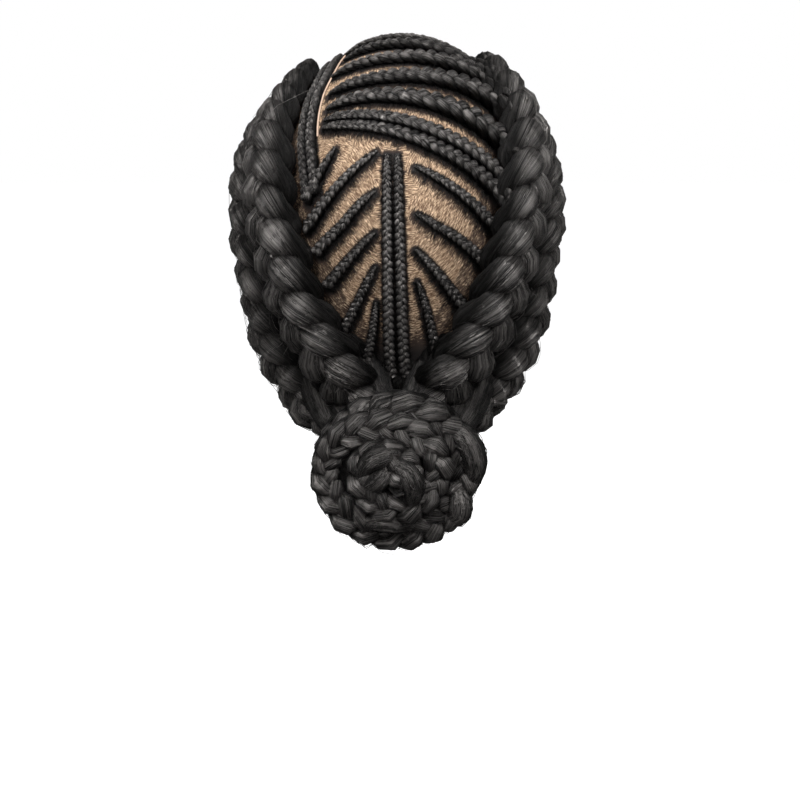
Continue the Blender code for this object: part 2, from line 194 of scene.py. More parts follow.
# name, start, middle, end, first width, last width, count side by side
CORNROWS = (
    ("crown_row_1", (-149, 34), (178, 42), (143, 35), 0.005, 0.010, 1),
    ("crown_row_2", (-141, 44), (176, 54), (133, 44), 0.005, 0.010, 1),
    ("crown_row_3", (-128, 54), (172, 66), (120, 51), 0.005, 0.010, 1),
    ("crown_row_4", (-108, 62), (150, 79), (106, 57), 0.005, 0.011, 1),
    ("crown_row_5", (-84, 65), (20, 87), (90, 61), 0.005, 0.011, 1),
    ("crown_row_6", (-63, 63), (12, 76), (76, 58), 0.005, 0.011, 1),
    ("crown_row_7", (-55, 53), (5, 64), (73, 50), 0.005, 0.012, 1),
    ("crown_row_8", (-46, 45), (8, 53), (67, 40), 0.005, 0.013, 1),
    ("crown_row_9", (-42, 39), (10, 43), (60, 24), 0.005, 0.014, 1),
    ("crown_pair", (-41, 33), (8, 31), (52, 11), 0.004, 0.0105, 2),
    ("centre_pair", (-2, 23), (-1, -20), (3, -84), 0.0048, 0.0072, 2),
    ("left_row_1", (-30, 25), (-35, 17), (-42, 7), 0.003, 0.008, 1),
    ("left_row_2", (-9, 24), (-25, 13), (-42, -3), 0.003, 0.008, 1),
    ("left_row_3", (-9, 11), (-21, 2), (-36, -15), 0.003, 0.008, 1),
    ("left_row_4", (-9, -3), (-20, -17), (-32, -33), 0.003, 0.0075, 1),
    ("left_row_5", (-9, -21), (-16, -37), (-25, -55), 0.003, 0.0065, 1),
    ("left_row_6", (-9, -40), (-11, -55), (-15, -71), 0.003, 0.006, 1),
    ("right_row_1", (8, 19), (28, 10), (46, -2), 0.003, 0.0085, 1),
    ("right_row_2", (8, 4), (24, -5), (41, -21), 0.003, 0.008, 1),
    ("right_row_3", (8, -12), (18, -25), (31, -43), 0.003, 0.0075, 1),
    ("right_row_4", (9, -29), (14, -46), (20, -68), 0.003, 0.0065, 1),
)
MIRROR = np.array([-1.0, 1.0, 1.0])


def row_line(start, middle, end):
    """An even bow over the head from start to end through the middle."""
    turn, rise = np.radians(np.array([start, middle, end], float)).T
    ways = np.stack([np.sin(turn) * np.cos(rise), -np.cos(turn) * np.cos(rise), np.sin(rise)], axis=1)
    bend = 2 * ways[1] - (ways[0] + ways[2]) / 2
    t = np.linspace(0, 1, LINE_POINTS + 1)[:, None]
    way = unit(ways[0] * (1 - t) ** 2 + bend * 2 * t * (1 - t) + ways[2] * t**2)
    return head_points(np.degrees(np.arctan2(way[:, 0], -way[:, 1])), np.degrees(np.arcsin(way[:, 2])))


def row_widths(points, first_width, last_width):
    along = lengths(points)
    return first_width + (last_width - first_width) * (along / along[-1]) ** ROW_GROWTH


inner_stations = smooth(INNER_JUMBO, np.linspace(0, 1, LINE_POINTS + 1))
inner_line = head_points(inner_stations[:, 0], inner_stations[:, 1])
inner_widths = JUMBO_WIDTH * inner_stations[:, 2]
outer_widths = inner_widths * OUTER_JUMBO_SHARE
outer_line = beside(inner_line, (inner_widths + outer_widths) / 2 + SIDE_GAP - JUMBO_SETTLE)
outer_first = round(OUTER_JUMBO_START_SHARE * LINE_POINTS)
jumbo_lines = {
    "inner": (inner_line, inner_widths),
    "outer": (outer_line[outer_first:], outer_widths[outer_first:]),
}
row_lines = {}
parting_under = inner_line[: round(PARTING_ROW_END_SHARE * len(inner_line))] * MIRROR
parting_tuck = inner_widths[: len(parting_under)] * PARTING_TUCK_SHARE
parting_reach = parting_tuck + SIDE_GAP + PARTING_ROW_WIDTHS[1] / 2
for row_name in ("parting_row_lower", "parting_row_upper"):
    line = beside(parting_under, parting_reach)
    row_lines[row_name] = (line, row_widths(line, *PARTING_ROW_WIDTHS))
    parting_reach = parting_reach + PARTING_ROW_WIDTHS[1] + SIDE_GAP
for row_name, start, middle, end, first_width, last_width, count in CORNROWS:
    line = row_line(start, middle, end)
    widths = row_widths(line, first_width, last_width)
    if count == 2:
        row_lines[f"{row_name}_1"] = (beside(line, (widths + SIDE_GAP) / 2), widths)
        row_lines[f"{row_name}_2"] = (beside(line, -(widths + SIDE_GAP) / 2), widths)
    else:
        row_lines[row_name] = (line, widths)

# The CAD solid of each row says how much of its line is free. Its last lobes run on into the jumbo
# plait. The crown's rows turn down the jumbo's inner flank instead and are taken up in it. Root
# hairs stop a third of the way down such a tail.
BOX_MARGIN = 0.002
ROW_RUN_ON = 0.010
PARTING_RUN_ON = 0.018
TAIL_DROP = 0.018
TAIL_PULL = 0.009
TAIL_POINTS = 24
FLANK_SHARE = 0.26
TAIL_CLIMB_SHARE = 0.27
row_paths = dict(row_lines)
row_tails = {}
rooted_lines = {}
flank = beside(inner_line, -FLANK_SHARE * inner_widths)
for row_name, (line, widths) in row_paths.items():
    low, high = (np.array(corner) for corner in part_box(row_name))
    held = np.all((line > low - BOX_MARGIN) & (line < high + BOX_MARGIN), axis=1).nonzero()[0]
    run_on = PARTING_RUN_ON if row_name.startswith("parting") else ROW_RUN_ON
    run_on = 0.0 if row_name.startswith("crown") else run_on
    last = min(np.searchsorted(lengths(line), lengths(line)[held[-1]] + run_on), len(line) - 1)
    line, widths = line[held[0] : last + 1], widths[held[0] : last + 1]
    if row_name.startswith("crown"):
        met = np.argmin(np.linalg.norm(inner_line - line[-1], axis=1))
        down = np.searchsorted(lengths(inner_line), lengths(inner_line)[met] + TAIL_DROP)
        t = np.linspace(0, 1, TAIL_POINTS)[1:, None]
        s = 1 - t
        leaving = line[-1] + tangents(line)[-1] * TAIL_PULL
        arriving = flank[down] - tangents(flank)[down] * TAIL_PULL
        tail = line[-1] * s**3 + leaving * 3 * t * s**2 + arriving * 3 * t**2 * s + flank[down] * t**3
        row_tails[row_name] = (lengths(tail)[-1], inner_widths[down] * TAIL_CLIMB_SHARE)
        line = np.concatenate([line, on_form(tail)])
        widths = np.concatenate([widths, np.full(len(tail), widths[-1])])
    row_lines[row_name] = (line, widths)
    bare = len(line) - (2 * TAIL_POINTS // 3 if row_name in row_tails else 0)
    rooted_lines[row_name] = (line[:bare], widths[:bare])

# Lace cap
# A thin tan lace, worn over the whole head, that every hair is knotted into. The short dark roots
# lie across the partings towards the nearest cornrow, and are thickest beside it. Painted shadow
# darkens the lace further below each row and beside the jumbo plaits.
CAP_COLUMNS = 240
CAP_OUTER_ROWS = 124
CAP_INNER_ROWS = 32
CAP_CROWDING = 0.45
# azimuth, and latitude of the cap's edge there
HAIRLINE = (
    (0, -98),
    (38, -93),
    (60, -76),
    (80, -42),
    (95, -8),
    (106, -3),
    (117, -13),
    (126, 0),
    (138, 15),
    (155, 27),
    (180, 31),
)
# how far the dark of the roots reaches above a row and below it, the longer reach below being painted shadow
# of the row; and the reach and strength of the roots and painted shadow by a jumbo
ROOT_REACH_ABOVE = 0.0014
ROOT_AND_SHADOW_REACH_BELOW = 0.0066
JUMBO_ROOT_AND_SHADOW_REACH = 0.0016
JUMBO_ROOTS_AND_SHADOW = 0.6
BELOW_GAIN = 1.5
# painted shade towards the nape: height where it begins, depth over which it grows, and its most
NAPE_PAINTED_SHADES = ((-0.115, 0.11, 0.6), (-0.150, 0.03, 0.97))
UV_SCALE = 10.0
ROW_STAGGER = 0.31
SPARSE = 4
LACE_PALE = (1.0, 0.765, 0.53, 1)
LACE_DEEP = (0.40, 0.255, 0.145, 1)
KNOT_BROWN = (0.13, 0.075, 0.045, 1)
# root colours, brown where roots are sparse, black where roots and painted shade are thickest
ROOT_BROWN = (0.10, 0.06, 0.04, 1)
ROOT_AND_SHADOW_BLACK = (0.012, 0.010, 0.010, 1)
COMBED_SCALE = (1.0, 0.14, 1.0)
STROKE_SCALE = 190.0
BLOTCH_SCALE = 45.0
NET_SCALE = 1100.0
STROKE_RELIEF = 0.7
NET_RELIEF = 0.6
KNOT_EDGES = (0.43, 0.66)
# strokes below a level show as roots: the level on bare lace, what the thickest roots and the
# deepest painted shade add to it, and how softly they end
BARE_COVER = 0.20
ROOTS_AND_SHADE_COVER = 0.62
COVER_EDGES = (-0.10, 0.14)


def place(tree, kind, inputs=(), **settings):
    """Adds a node. Its inputs are given by name or place, as values or as sockets to link."""
    made = tree.nodes.new(kind)
    for name, value in settings.items():
        setattr(made, name, value)
    for name, value in dict(inputs).items():
        socket = made.inputs[name] if isinstance(name, int) else next(
            s for s in made.inputs if s.name == name and s.enabled
        )
        if isinstance(value, bpy.types.NodeSocket):
            tree.links.new(value, socket)
        else:
            socket.default_value = value
    return made


def result(made):
    """The first output that the node's settings leave in use."""
    return next(s for s in made.outputs if s.enabled)


def number(tree, operation, *values):
    return result(place(tree, "ShaderNodeMath", dict(enumerate(values)), operation=operation))


def times(tree, first, second):
    return number(tree, "MULTIPLY", first, second)


def way(tree, operation, *values):
    """Vector arithmetic. A scale's factor is the node's fourth input."""
    spots = (0, 3) if operation == "SCALE" else (0, 1, 2)
    return result(place(tree, "ShaderNodeVectorMath", dict(zip(spots, values)), operation=operation))


def noise(tree, spot, scale, detail, **others):
    inputs = {"Vector": spot, "Scale": scale, "Detail": detail, **others}
    return result(place(tree, "ShaderNodeTexNoise", inputs))


def eased(tree, value, low, high, first=0.0, last=1.0):
    """Smoothly from first to last while the value goes from low to high."""
    inputs = {"Value": value, "From Min": low, "From Max": high, "To Min": first, "To Max": last}
    return result(place(tree, "ShaderNodeMapRange", inputs, interpolation_type="SMOOTHSTEP"))


def mixed(tree, share, first, second):
    """The first colour where the share is 0, the second where it is 1."""
    return place(tree, "ShaderNodeMix", {0: share, 6: first, 7: second}, data_type="RGBA").outputs[2]


def new_finish(name):
    finish = bpy.data.materials.new(name)
    finish.use_nodes = True
    tree = finish.node_tree
    return finish, tree, tree.nodes["Principled BSDF"]


def hairline(azimuth):
    """The latitude of the cap's edge, which runs from the nape past the ears to the forehead."""
    turn = np.abs((azimuth + 180) % 360 - 180)
    stops, edges = np.array(HAIRLINE, float).T
    i = np.clip(np.searchsorted(stops, turn, side="left") - 1, 0, len(stops) - 2)
    share = (turn - stops[i]) / (stops[i + 1] - stops[i])
    return edges[i] + (edges[i + 1] - edges[i]) * (1 - np.cos(np.pi * share)) / 2


def cap_side(grow, rows):
    """Rings of points from just under the crown to the edge, closest together at the back."""
    turn = np.linspace(0, 2 * np.pi, CAP_COLUMNS, endpoint=False)
    azimuth = np.degrees(turn - CAP_CROWDING * np.sin(turn))
    drop = (hairline(azimuth) - 90) * (np.arange(1, rows + 1) / rows)[:, None]
    return head_points(np.tile(azimuth, (rows, 1)), 90 + drop, grow)


outer_side = cap_side(CAP_WALL, CAP_OUTER_ROWS)
inner_side = cap_side(0.0, CAP_INNER_ROWS)
columns = np.arange(CAP_COLUMNS)
beyond = (columns + 1) % CAP_COLUMNS
outer_count = CAP_OUTER_ROWS * CAP_COLUMNS
inner_first = outer_count + 1
cap_spots = [outer_side.reshape(-1, 3), [[0, 0, CAP_WALL]], inner_side.reshape(-1, 3), [[0, 0, 0.0]]]
cap_faces = [(b, a, outer_count) for a, b in zip(columns, beyond)]
for row in range(CAP_OUTER_ROWS - 1):
    upper, lower = row * CAP_COLUMNS, (row + 1) * CAP_COLUMNS
    cap_faces += list(zip(lower + columns, lower + beyond, upper + beyond, upper + columns))
inner_top = inner_first + CAP_INNER_ROWS * CAP_COLUMNS
cap_faces += [(inner_first + a, inner_first + b, inner_top) for a, b in zip(columns, beyond)]
for row in range(CAP_INNER_ROWS - 1):
    upper = inner_first + row * CAP_COLUMNS
    lower = upper + CAP_COLUMNS
    cap_faces += list(zip(upper + columns, upper + beyond, lower + beyond, lower + columns))
outer_edge = outer_count - CAP_COLUMNS
inner_edge = inner_first + (CAP_INNER_ROWS - 1) * CAP_COLUMNS
hem = zip(inner_edge + columns, inner_edge + beyond, outer_edge + beyond, outer_edge + columns)
cap_faces += list(hem)
cap_faces = [tuple(int(i) for i in face) for face in cap_faces]
mesh = bpy.data.meshes.new("lace_cap_sewn")
mesh.from_pydata(np.concatenate(cap_spots).tolist(), [], cap_faces)
mesh.update()

# Each face of the cap takes its place along and across the cornrow that its roots are drawn to
spots = np.array([v.co for v in mesh.vertices])
corner_spot = np.empty(len(mesh.loops), int)
mesh.loops.foreach_get("vertex_index", corner_spot)
face_of_corner = np.repeat(np.arange(len(mesh.polygons)), [len(f.vertices) for f in mesh.polygons])
centres = np.array([f.center for f in mesh.polygons])
finder = KDTree(sum(len(line) for line, _ in row_paths.values()))
owner = []
for index, (line, _) in enumerate(row_paths.values()):
    for point in line:
        finder.insert(point, len(owner))
        owner.append(index)
finder.balance()
nearest_row = np.array([owner[finder.find(centre)[1]] for centre in centres])[face_of_corner]
roots = np.zeros((len(mesh.loops), 2))
below = np.zeros(len(spots))
closest = np.full(len(spots), 1.0)
for index, (line, widths) in enumerate(row_paths.values()):
    chosen = nearest_row == index
    corner = spots[corner_spot[chosen]]
    near = np.argmin(((corner[:, None] - line[None]) ** 2).sum(axis=2), axis=1)
    tangent = tangents(line)
    side = unit(np.cross(normals_off(line), tangent))
    shift = corner - line[near]
    roots[chosen, 0] = lengths(line)[near] + (shift * tangent[near]).sum(axis=1) + index * ROW_STAGGER
    roots[chosen, 1] = (shift * side[near]).sum(axis=1)
    apart = np.linalg.norm(spots[:, None] - line[None, ::SPARSE], axis=2)
    near = np.argmin(apart, axis=1)
    gap = apart[np.arange(len(spots)), near] - widths[::SPARSE][near] / 2
    drop = (line[::SPARSE][near, 2] - spots[:, 2]) / np.maximum(apart.min(axis=1), 1e-6)
    below = np.where(gap < closest, drop, below)
    closest = np.minimum(closest, gap)
jumbo_gap = np.full(len(spots), 1.0)
for line, widths in jumbo_lines.values():
    for flip in (1.0, MIRROR):
        apart = np.linalg.norm(spots[:, None] - (line * flip)[None, ::SPARSE], axis=2)
        jumbo_gap = np.minimum(jumbo_gap, (apart - widths[::SPARSE] / 2).min(axis=1))
# Dark of the roots beside each row, with painted shadow below each row, beside the jumbo plaits and towards
# the nape
root_and_shadow_reach = ROOT_REACH_ABOVE + (ROOT_AND_SHADOW_REACH_BELOW - ROOT_REACH_ABOVE) * np.clip(below * BELOW_GAIN, 0, 1)
dark = np.exp(-np.maximum(closest, 0) / root_and_shadow_reach)
dark = np.maximum(dark, JUMBO_ROOTS_AND_SHADOW * np.exp(-np.maximum(jumbo_gap, 0) / JUMBO_ROOT_AND_SHADOW_REACH))
for start, depth, most in NAPE_PAINTED_SHADES:
    dark = np.maximum(dark, np.clip((start - spots[:, 2]) / depth, 0, most))
dark[inner_first:] = -1.0
mesh.attributes.new("root_dark", "FLOAT", "POINT").data.foreach_set("value", dark)
root_map = mesh.uv_layers.new(name="roots")
root_map.data.foreach_set("uv", (roots * UV_SCALE).ravel())

scalp_lace, tree, shader = new_finish("scalp_lace")
root_uv = result(place(tree, "ShaderNodeUVMap", uv_map="roots"))
combed = result(place(tree, "ShaderNodeMapping", {"Vector": root_uv, "Scale": COMBED_SCALE}))
strokes = noise(tree, combed, STROKE_SCALE, 3.0, Roughness=0.7)
blotch = noise(tree, combed, BLOTCH_SCALE, 2.0)
darkness = place(tree, "ShaderNodeAttribute", attribute_name="root_dark").outputs["Fac"]
lace = mixed(tree, blotch, LACE_DEEP, LACE_PALE)
lace = mixed(tree, eased(tree, strokes, *KNOT_EDGES), KNOT_BROWN, lace)
# more root strokes, and blacker ones, where the roots and the painted shade are thickest
edge = number(tree, "MULTIPLY_ADD", darkness, ROOTS_AND_SHADE_COVER, BARE_COVER)
shown = eased(tree, number(tree, "SUBTRACT", strokes, edge), *COVER_EDGES)
root_and_shade_colour = mixed(tree, darkness, ROOT_BROWN, ROOT_AND_SHADOW_BLACK)
tree.links.new(mixed(tree, shown, root_and_shade_colour, lace), shader.inputs["Base Color"])
spot = place(tree, "ShaderNodeTexCoord").outputs["Object"]
net_inputs = {"Vector": spot, "Scale": NET_SCALE}
net = result(place(tree, "ShaderNodeTexVoronoi", net_inputs, feature="DISTANCE_TO_EDGE"))
height = number(tree, "ADD", times(tree, strokes, STROKE_RELIEF), times(tree, net, NET_RELIEF))
relief = place(tree, "ShaderNodeBump", {"Height": height, "Strength": 0.5, "Distance": 0.0006})
tree.links.new(relief.outputs["Normal"], shader.inputs["Normal"])
shader.inputs["Roughness"].default_value = 0.85
shader.inputs["IOR"].default_value = 1.35
mesh.materials.append(scalp_lace)
mesh.shade_smooth()
piece = bpy.data.objects.new("lace_cap_sewn", mesh)
bpy.context.scene.collection.objects.link(piece)
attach(piece, "root")
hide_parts("lace_cap")

# Braided hair finish
# Black synthetic fibre, combed along each strand. It is dark with a soft grey sheen that breaks
# into fine lines, because bundles of fibre catch the light and the gaps between them don't.
FIBRE_BUNDLE = 0.0006
LOCK_BUNDLE = 0.004
BUNDLE_SHARE = 0.7
HAIR_GAP = (0.0100, 0.0096, 0.0094, 1)
HAIR_SHEEN = (0.185, 0.173, 0.165, 1)
# painted shade and highlight: the hair's height from the deepest gap to the top of a lobe, and how
# much darker or lighter its colour is painted there
PAINTED_SHADE_HEIGHTS = (0.2, 1.5)
PAINTED_SHADE_AND_LIGHT = (0.14, 2.15)
braid_hair, tree, shader = new_finish("braid_hair")
fibre = place(tree, "ShaderNodeAttribute", attribute_name="fibre").outputs["Vector"]
bundles = noise(tree, fibre, 1 / FIBRE_BUNDLE, 4.0, Roughness=0.75, Distortion=0.5)
locks = noise(tree, fibre, 1 / LOCK_BUNDLE, 1.0)
streak = number(tree, "ADD", times(tree, bundles, BUNDLE_SHARE), times(tree, locks, 1 - BUNDLE_SHARE))
shade = place(tree, "ShaderNodeValToRGB", {"Fac": streak})
shade.color_ramp.elements[0].position = 0.44
shade.color_ramp.elements[0].color = HAIR_GAP
shade.color_ramp.elements[1].position = 0.63
shade.color_ramp.elements[1].color = HAIR_SHEEN
# Painted shade and highlight: the colour darkens towards the creases between lobes and lightens at their
# tops, by the height of each point in its plait
painted_shade_height = place(tree, "ShaderNodeAttribute", attribute_name="painted_shade_height").outputs["Fac"]
openness = eased(tree, painted_shade_height, *PAINTED_SHADE_HEIGHTS, *PAINTED_SHADE_AND_LIGHT)
tree.links.new(way(tree, "SCALE", shade.outputs["Color"], openness), shader.inputs["Base Color"])
gloss = place(tree, "ShaderNodeMapRange", {
    "Value": times(tree, streak, openness),
    "From Min": 0.1,
    "From Max": 0.62,
    "To Min": 0.64,
    "To Max": 0.36,
})
tree.links.new(gloss.outputs["Result"], shader.inputs["Roughness"])
relief = place(tree, "ShaderNodeBump", {"Height": streak, "Strength": 1.0, "Distance": 0.0016})
tree.links.new(relief.outputs["Normal"], shader.inputs["Normal"])
round_strand = place(tree, "ShaderNodeAttribute", attribute_name="round_strand")
tree.links.new(round_strand.outputs["Vector"], shader.inputs["Tangent"])
shader.inputs["Anisotropic"].default_value = 0.7
shader.inputs["Metallic"].default_value = 0.7
shader.inputs["IOR"].default_value = 1.45
shader.inputs["Specular IOR Level"].default_value = 0.4

# Plaiting
# Each plait is three bundles of fibre. A bundle sways from edge to edge, rides over the others on
# its way out from the middle and goes back beneath them, which leaves the row of arrowhead lobes.
STRAND_WIDTH_SHARE = 0.27
STRAND_DEPTH_SHARE = 0.29
LOBE_SWELL = 0.11
LEAST_SLANT = 0.5
LEAST_WIDTH = 0.001
# paces of the noises that vary a plait, in waves for each of its widths, and of its grooves
UNEVEN_PACE = 1.1
DRIFT_PACE = 1.7
CURL_PACE = 3.3
GROOVE_PACE = 3.0
COMB_PACE = 0.03
# the arc of a strand's open side that its single fibres share, in radians, and how far one drifts
FIBRE_ARC = 3.66
FIBRE_ARC_START = -0.26
FIBRE_DRIFT = 1.6
# where in its outline a fibre is laid, and how the stray ones stand off it
FIBRE_SEAT = 0.995
STRAY_FROM = 0.47
STRAY_GAIN = 30.0
# strides that give each plait, strand and fibre a chance of its own
PLAIT_STRIDE = 997.0
STRAND_STRIDE = 131.0
FIBRE_STRIDE = 0.137
CHANCE_STRIDE = 9.0
STRAND_SHIFT = 5.3
STRAND_LAG = 0.7
CURL_SHIFT = (7.7, 3.1, 5.9)


def read(tree, name, kind="FLOAT"):
    return result(place(tree, "GeometryNodeInputNamedAttribute", {"Name": name}, data_type=kind))


def read_way(tree, name):
    return read(tree, name, "FLOAT_VECTOR")


def keep(tree, shape, name, value, kind="FLOAT"):
    """Stores a value at each point of the shape, under a name."""
    inputs = {"Geometry": shape, "Name": name, "Value": value}
    store = place(tree, "GeometryNodeStoreNamedAttribute", inputs, data_type=kind, domain="POINT")
    return result(store)


def keep_way(tree, shape, name, value):
    return keep(tree, shape, name, value, "FLOAT_VECTOR")


def triple(tree, x, y, z=0.0):
    return result(place(tree, "ShaderNodeCombineXYZ", {"X": x, "Y": y, "Z": z}))


def copied(tree, line, count):
    """Copies of a line, and which of them each is."""
    inputs = {"Geometry": line, "Amount": count}
    copies = place(tree, "GeometryNodeDuplicateElements", inputs, domain="SPLINE")
    return copies.outputs["Geometry"], copies.outputs["Duplicate Index"]


def swept(tree, line, ring):
    """A closed tube along the line."""
    inputs = {"Curve": line, "Profile Curve": ring, "Fill Caps": True}
    return result(place(tree, "GeometryNodeCurveToMesh", inputs))


def ring_of(tree, sides):
    return result(place(tree, "GeometryNodeCurvePrimitiveCircle", {"Resolution": sides, "Radius": 0.001}))


def off_middle(tree, sideways, outwards):
    """A place so far along a strand's breadth and so far off the head from its middle."""
    spread = way(tree, "SCALE", read_way(tree, "across"), sideways)
    raised = way(tree, "SCALE", read_way(tree, "lift"), outwards)
    return way(tree, "ADD", read_way(tree, "middle"), way(tree, "ADD", spread, raised))


def on_outline(tree, cosine, sine, reach):
    """A place on a strand's oval outline, or a little off it."""
    sideways = times(tree, times(tree, read(tree, "half"), cosine), reach)
    outwards = times(tree, times(tree, read(tree, "deep"), sine), reach)
    return off_middle(tree, sideways, outwards)


def painted_shade_height_of(tree, given, sine):
    """How far up a point stands in its plait: 1 at a lobe's top, 0 at the middle. Sets painted shade."""
    depth_share = given["Strand Depth Share"]
    rise = times(tree, number(tree, "SUBTRACT", 0.5, depth_share), read(tree, "on_top"))
    height = number(tree, "MULTIPLY_ADD", depth_share, sine, rise)
    return times(tree, times(tree, height, 2.0), given["Openness"])


def open_tree(name, sockets):
    """A node tree with named inputs. Returns the tree, its inputs and its output node."""
    tree = bpy.data.node_groups.new(name, "GeometryNodeTree")
    for label, kind, value in sockets:
        socket = tree.interface.new_socket(label, in_out="INPUT", socket_type=kind)
        if value is not None:
            socket.default_value = value
    tree.interface.new_socket("Geometry", in_out="OUTPUT", socket_type="NodeSocketGeometry")
    return tree, tree.nodes.new("NodeGroupInput").outputs, tree.nodes.new("NodeGroupOutput").inputs


def close_tree(tree, shape, finish, ends):
    """Ends a tree: real mesh instead of instances, shaded smooth, in its finish."""
    shape = result(place(tree, "GeometryNodeRealizeInstances", {"Geometry": shape}))
    shape = result(place(tree, "GeometryNodeSetShadeSmooth", {0: shape}))
    shape = result(place(tree, "GeometryNodeSetMaterial", {"Geometry": shape, "Material": finish}))
    tree.links.new(shape, ends["Geometry"])


plait_tree, given, ends = open_tree(
    "Three-strand plait",
    (
        ("Geometry", "NodeSocketGeometry", None),
        ("Strands", "NodeSocketInt", 3),
        ("Strand Width Share", "NodeSocketFloat", STRAND_WIDTH_SHARE),
        ("Strand Depth Share", "NodeSocketFloat", STRAND_DEPTH_SHARE),
        ("Sides", "NodeSocketInt", 16),
        ("Groove Depth", "NodeSocketFloat", 0.05),
        ("Grooves", "NodeSocketFloat", 3.0),
        ("Fullness", "NodeSocketFloat", 1.0),
        ("Unevenness", "NodeSocketFloat", 0.12),
        # how strongly the painted highlight on the lobes and the painted shade in their creases are laid on
        ("Openness", "NodeSocketFloat", 1.0),
        ("Body", "NodeSocketBool", True),
        ("Fibres", "NodeSocketInt", 10),
        ("Fibre Step", "NodeSocketFloat", 0.004),
        ("Fibre Radius", "NodeSocketFloat", 0.0002),
        ("Looseness", "NodeSocketFloat", 0.05),
        ("Seed", "NodeSocketInt", 1),
        ("Finish", "NodeSocketMaterial", None),
    ),
)
tree = plait_tree
line = result(place(tree, "GeometryNodeMeshToCurve", {"Mesh": given["Geometry"]}))
copies, which = copied(tree, line, given["Strands"])
strands = keep(tree, copies, "strand", which)
tangent = way(tree, "NORMALIZE", result(place(tree, "GeometryNodeInputTangent")))
side = way(tree, "NORMALIZE", way(tree, "CROSS_PRODUCT", read_way(tree, "up"), tangent))
out = way(tree, "CROSS_PRODUCT", tangent, side)
lag = times(tree, read(tree, "strand"), 2 * np.pi / 3)
phase = number(tree, "ADD", read(tree, "phase"), lag)
twice = times(tree, phase, 2.0)
width = read(tree, "width")
thick = read(tree, "thick")
sway = times(tree, width, number(tree, "SUBTRACT", 0.5, given["Strand Width Share"]))
rise = times(tree, thick, number(tree, "SUBTRACT", 0.5, given["Strand Depth Share"]))
sideways = way(tree, "SCALE", side, times(tree, sway, number(tree, "SINE", phase)))
outwards = way(tree, "SCALE", out, times(tree, rise, number(tree, "SINE", twice)))
strands = keep_way(tree, strands, "run_way", tangent)
strands = keep_way(tree, strands, "out_way", out)
strands = keep(tree, strands, "on_top", number(tree, "SINE", twice))
swayed = {"Geometry": strands, "Offset": way(tree, "ADD", sideways, outwards)}
strands = result(place(tree, "GeometryNodeSetPosition", swayed))
along = way(tree, "NORMALIZE", result(place(tree, "GeometryNodeInputTangent")))
across = way(tree, "NORMALIZE", way(tree, "CROSS_PRODUCT", read_way(tree, "out_way"), along))
lift = way(tree, "CROSS_PRODUCT", along, across)
slant = number(tree, "MAXIMUM", way(tree, "DOT_PRODUCT", along, read_way(tree, "run_way")), LEAST_SLANT)
swell = number(tree, "MULTIPLY_ADD", read(tree, "on_top"), LOBE_SWELL, given["Fullness"])
own_run = number(tree, "DIVIDE", read(tree, "run"), number(tree, "MAXIMUM", width, LEAST_WIDTH))
spot = triple(tree, own_run, times(tree, read(tree, "strand"), STRAND_SHIFT))
waver = noise(tree, spot, UNEVEN_PACE, 0.0)
waver = times(tree, number(tree, "SUBTRACT", waver, 0.5), given["Unevenness"])
swell = number(tree, "MULTIPLY_ADD", waver, 2.0, swell)
strand_width = times(tree, width, given["Strand Width Share"])
strand_depth = times(tree, thick, given["Strand Depth Share"])
middle = result(place(tree, "GeometryNodeInputPosition"))
strands = keep_way(tree, strands, "middle", middle)
strands = keep_way(tree, strands, "across", across)
strands = keep_way(tree, strands, "lift", lift)
strands = keep(tree, strands, "half", times(tree, times(tree, strand_width, slant), swell))
strands = keep(tree, strands, "deep", times(tree, strand_depth, swell))
strands = keep(tree, strands, "strand_size", strand_width)
turned = times(tree, result(place(tree, "GeometryNodeInputIndex")), 2 * np.pi)
ring = keep(tree, ring_of(tree, given["Sides"]), "turn", number(tree, "DIVIDE", turned, given["Sides"]))
tube = swept(tree, strands, ring)
turn = read(tree, "turn")
cosine = number(tree, "COSINE", turn)
sine = number(tree, "SINE", turn)
run = number(tree, "ADD", read(tree, "run"), times(tree, read(tree, "strand"), STRAND_LAG))
grain = triple(tree, cosine, sine, times(tree, run, GROOVE_PACE))
groove = number(tree, "SUBTRACT", noise(tree, grain, given["Grooves"], 2.0), 0.5)
reach = number(tree, "MULTIPLY_ADD", times(tree, groove, given["Groove Depth"]), 2.0, 1.0)
spot = on_outline(tree, cosine, sine, reach)
size = read(tree, "strand_size")
combed = times(tree, run, COMB_PACE)
comb = triple(tree, times(tree, cosine, size), times(tree, sine, size), combed)
tube = keep_way(tree, tube, "fibre", comb)
sweep_side = way(tree, "SCALE", read_way(tree, "across"), times(tree, sine, -1.0))
sweep_lift = way(tree, "SCALE", read_way(tree, "lift"), cosine)
tube = keep_way(tree, tube, "round_strand", way(tree, "ADD", sweep_side, sweep_lift))
tube = keep(tree, tube, "painted_shade_height", painted_shade_height_of(tree, given, sine))
tube = result(place(tree, "GeometryNodeSetPosition", {"Geometry": tube, "Position": spot}))

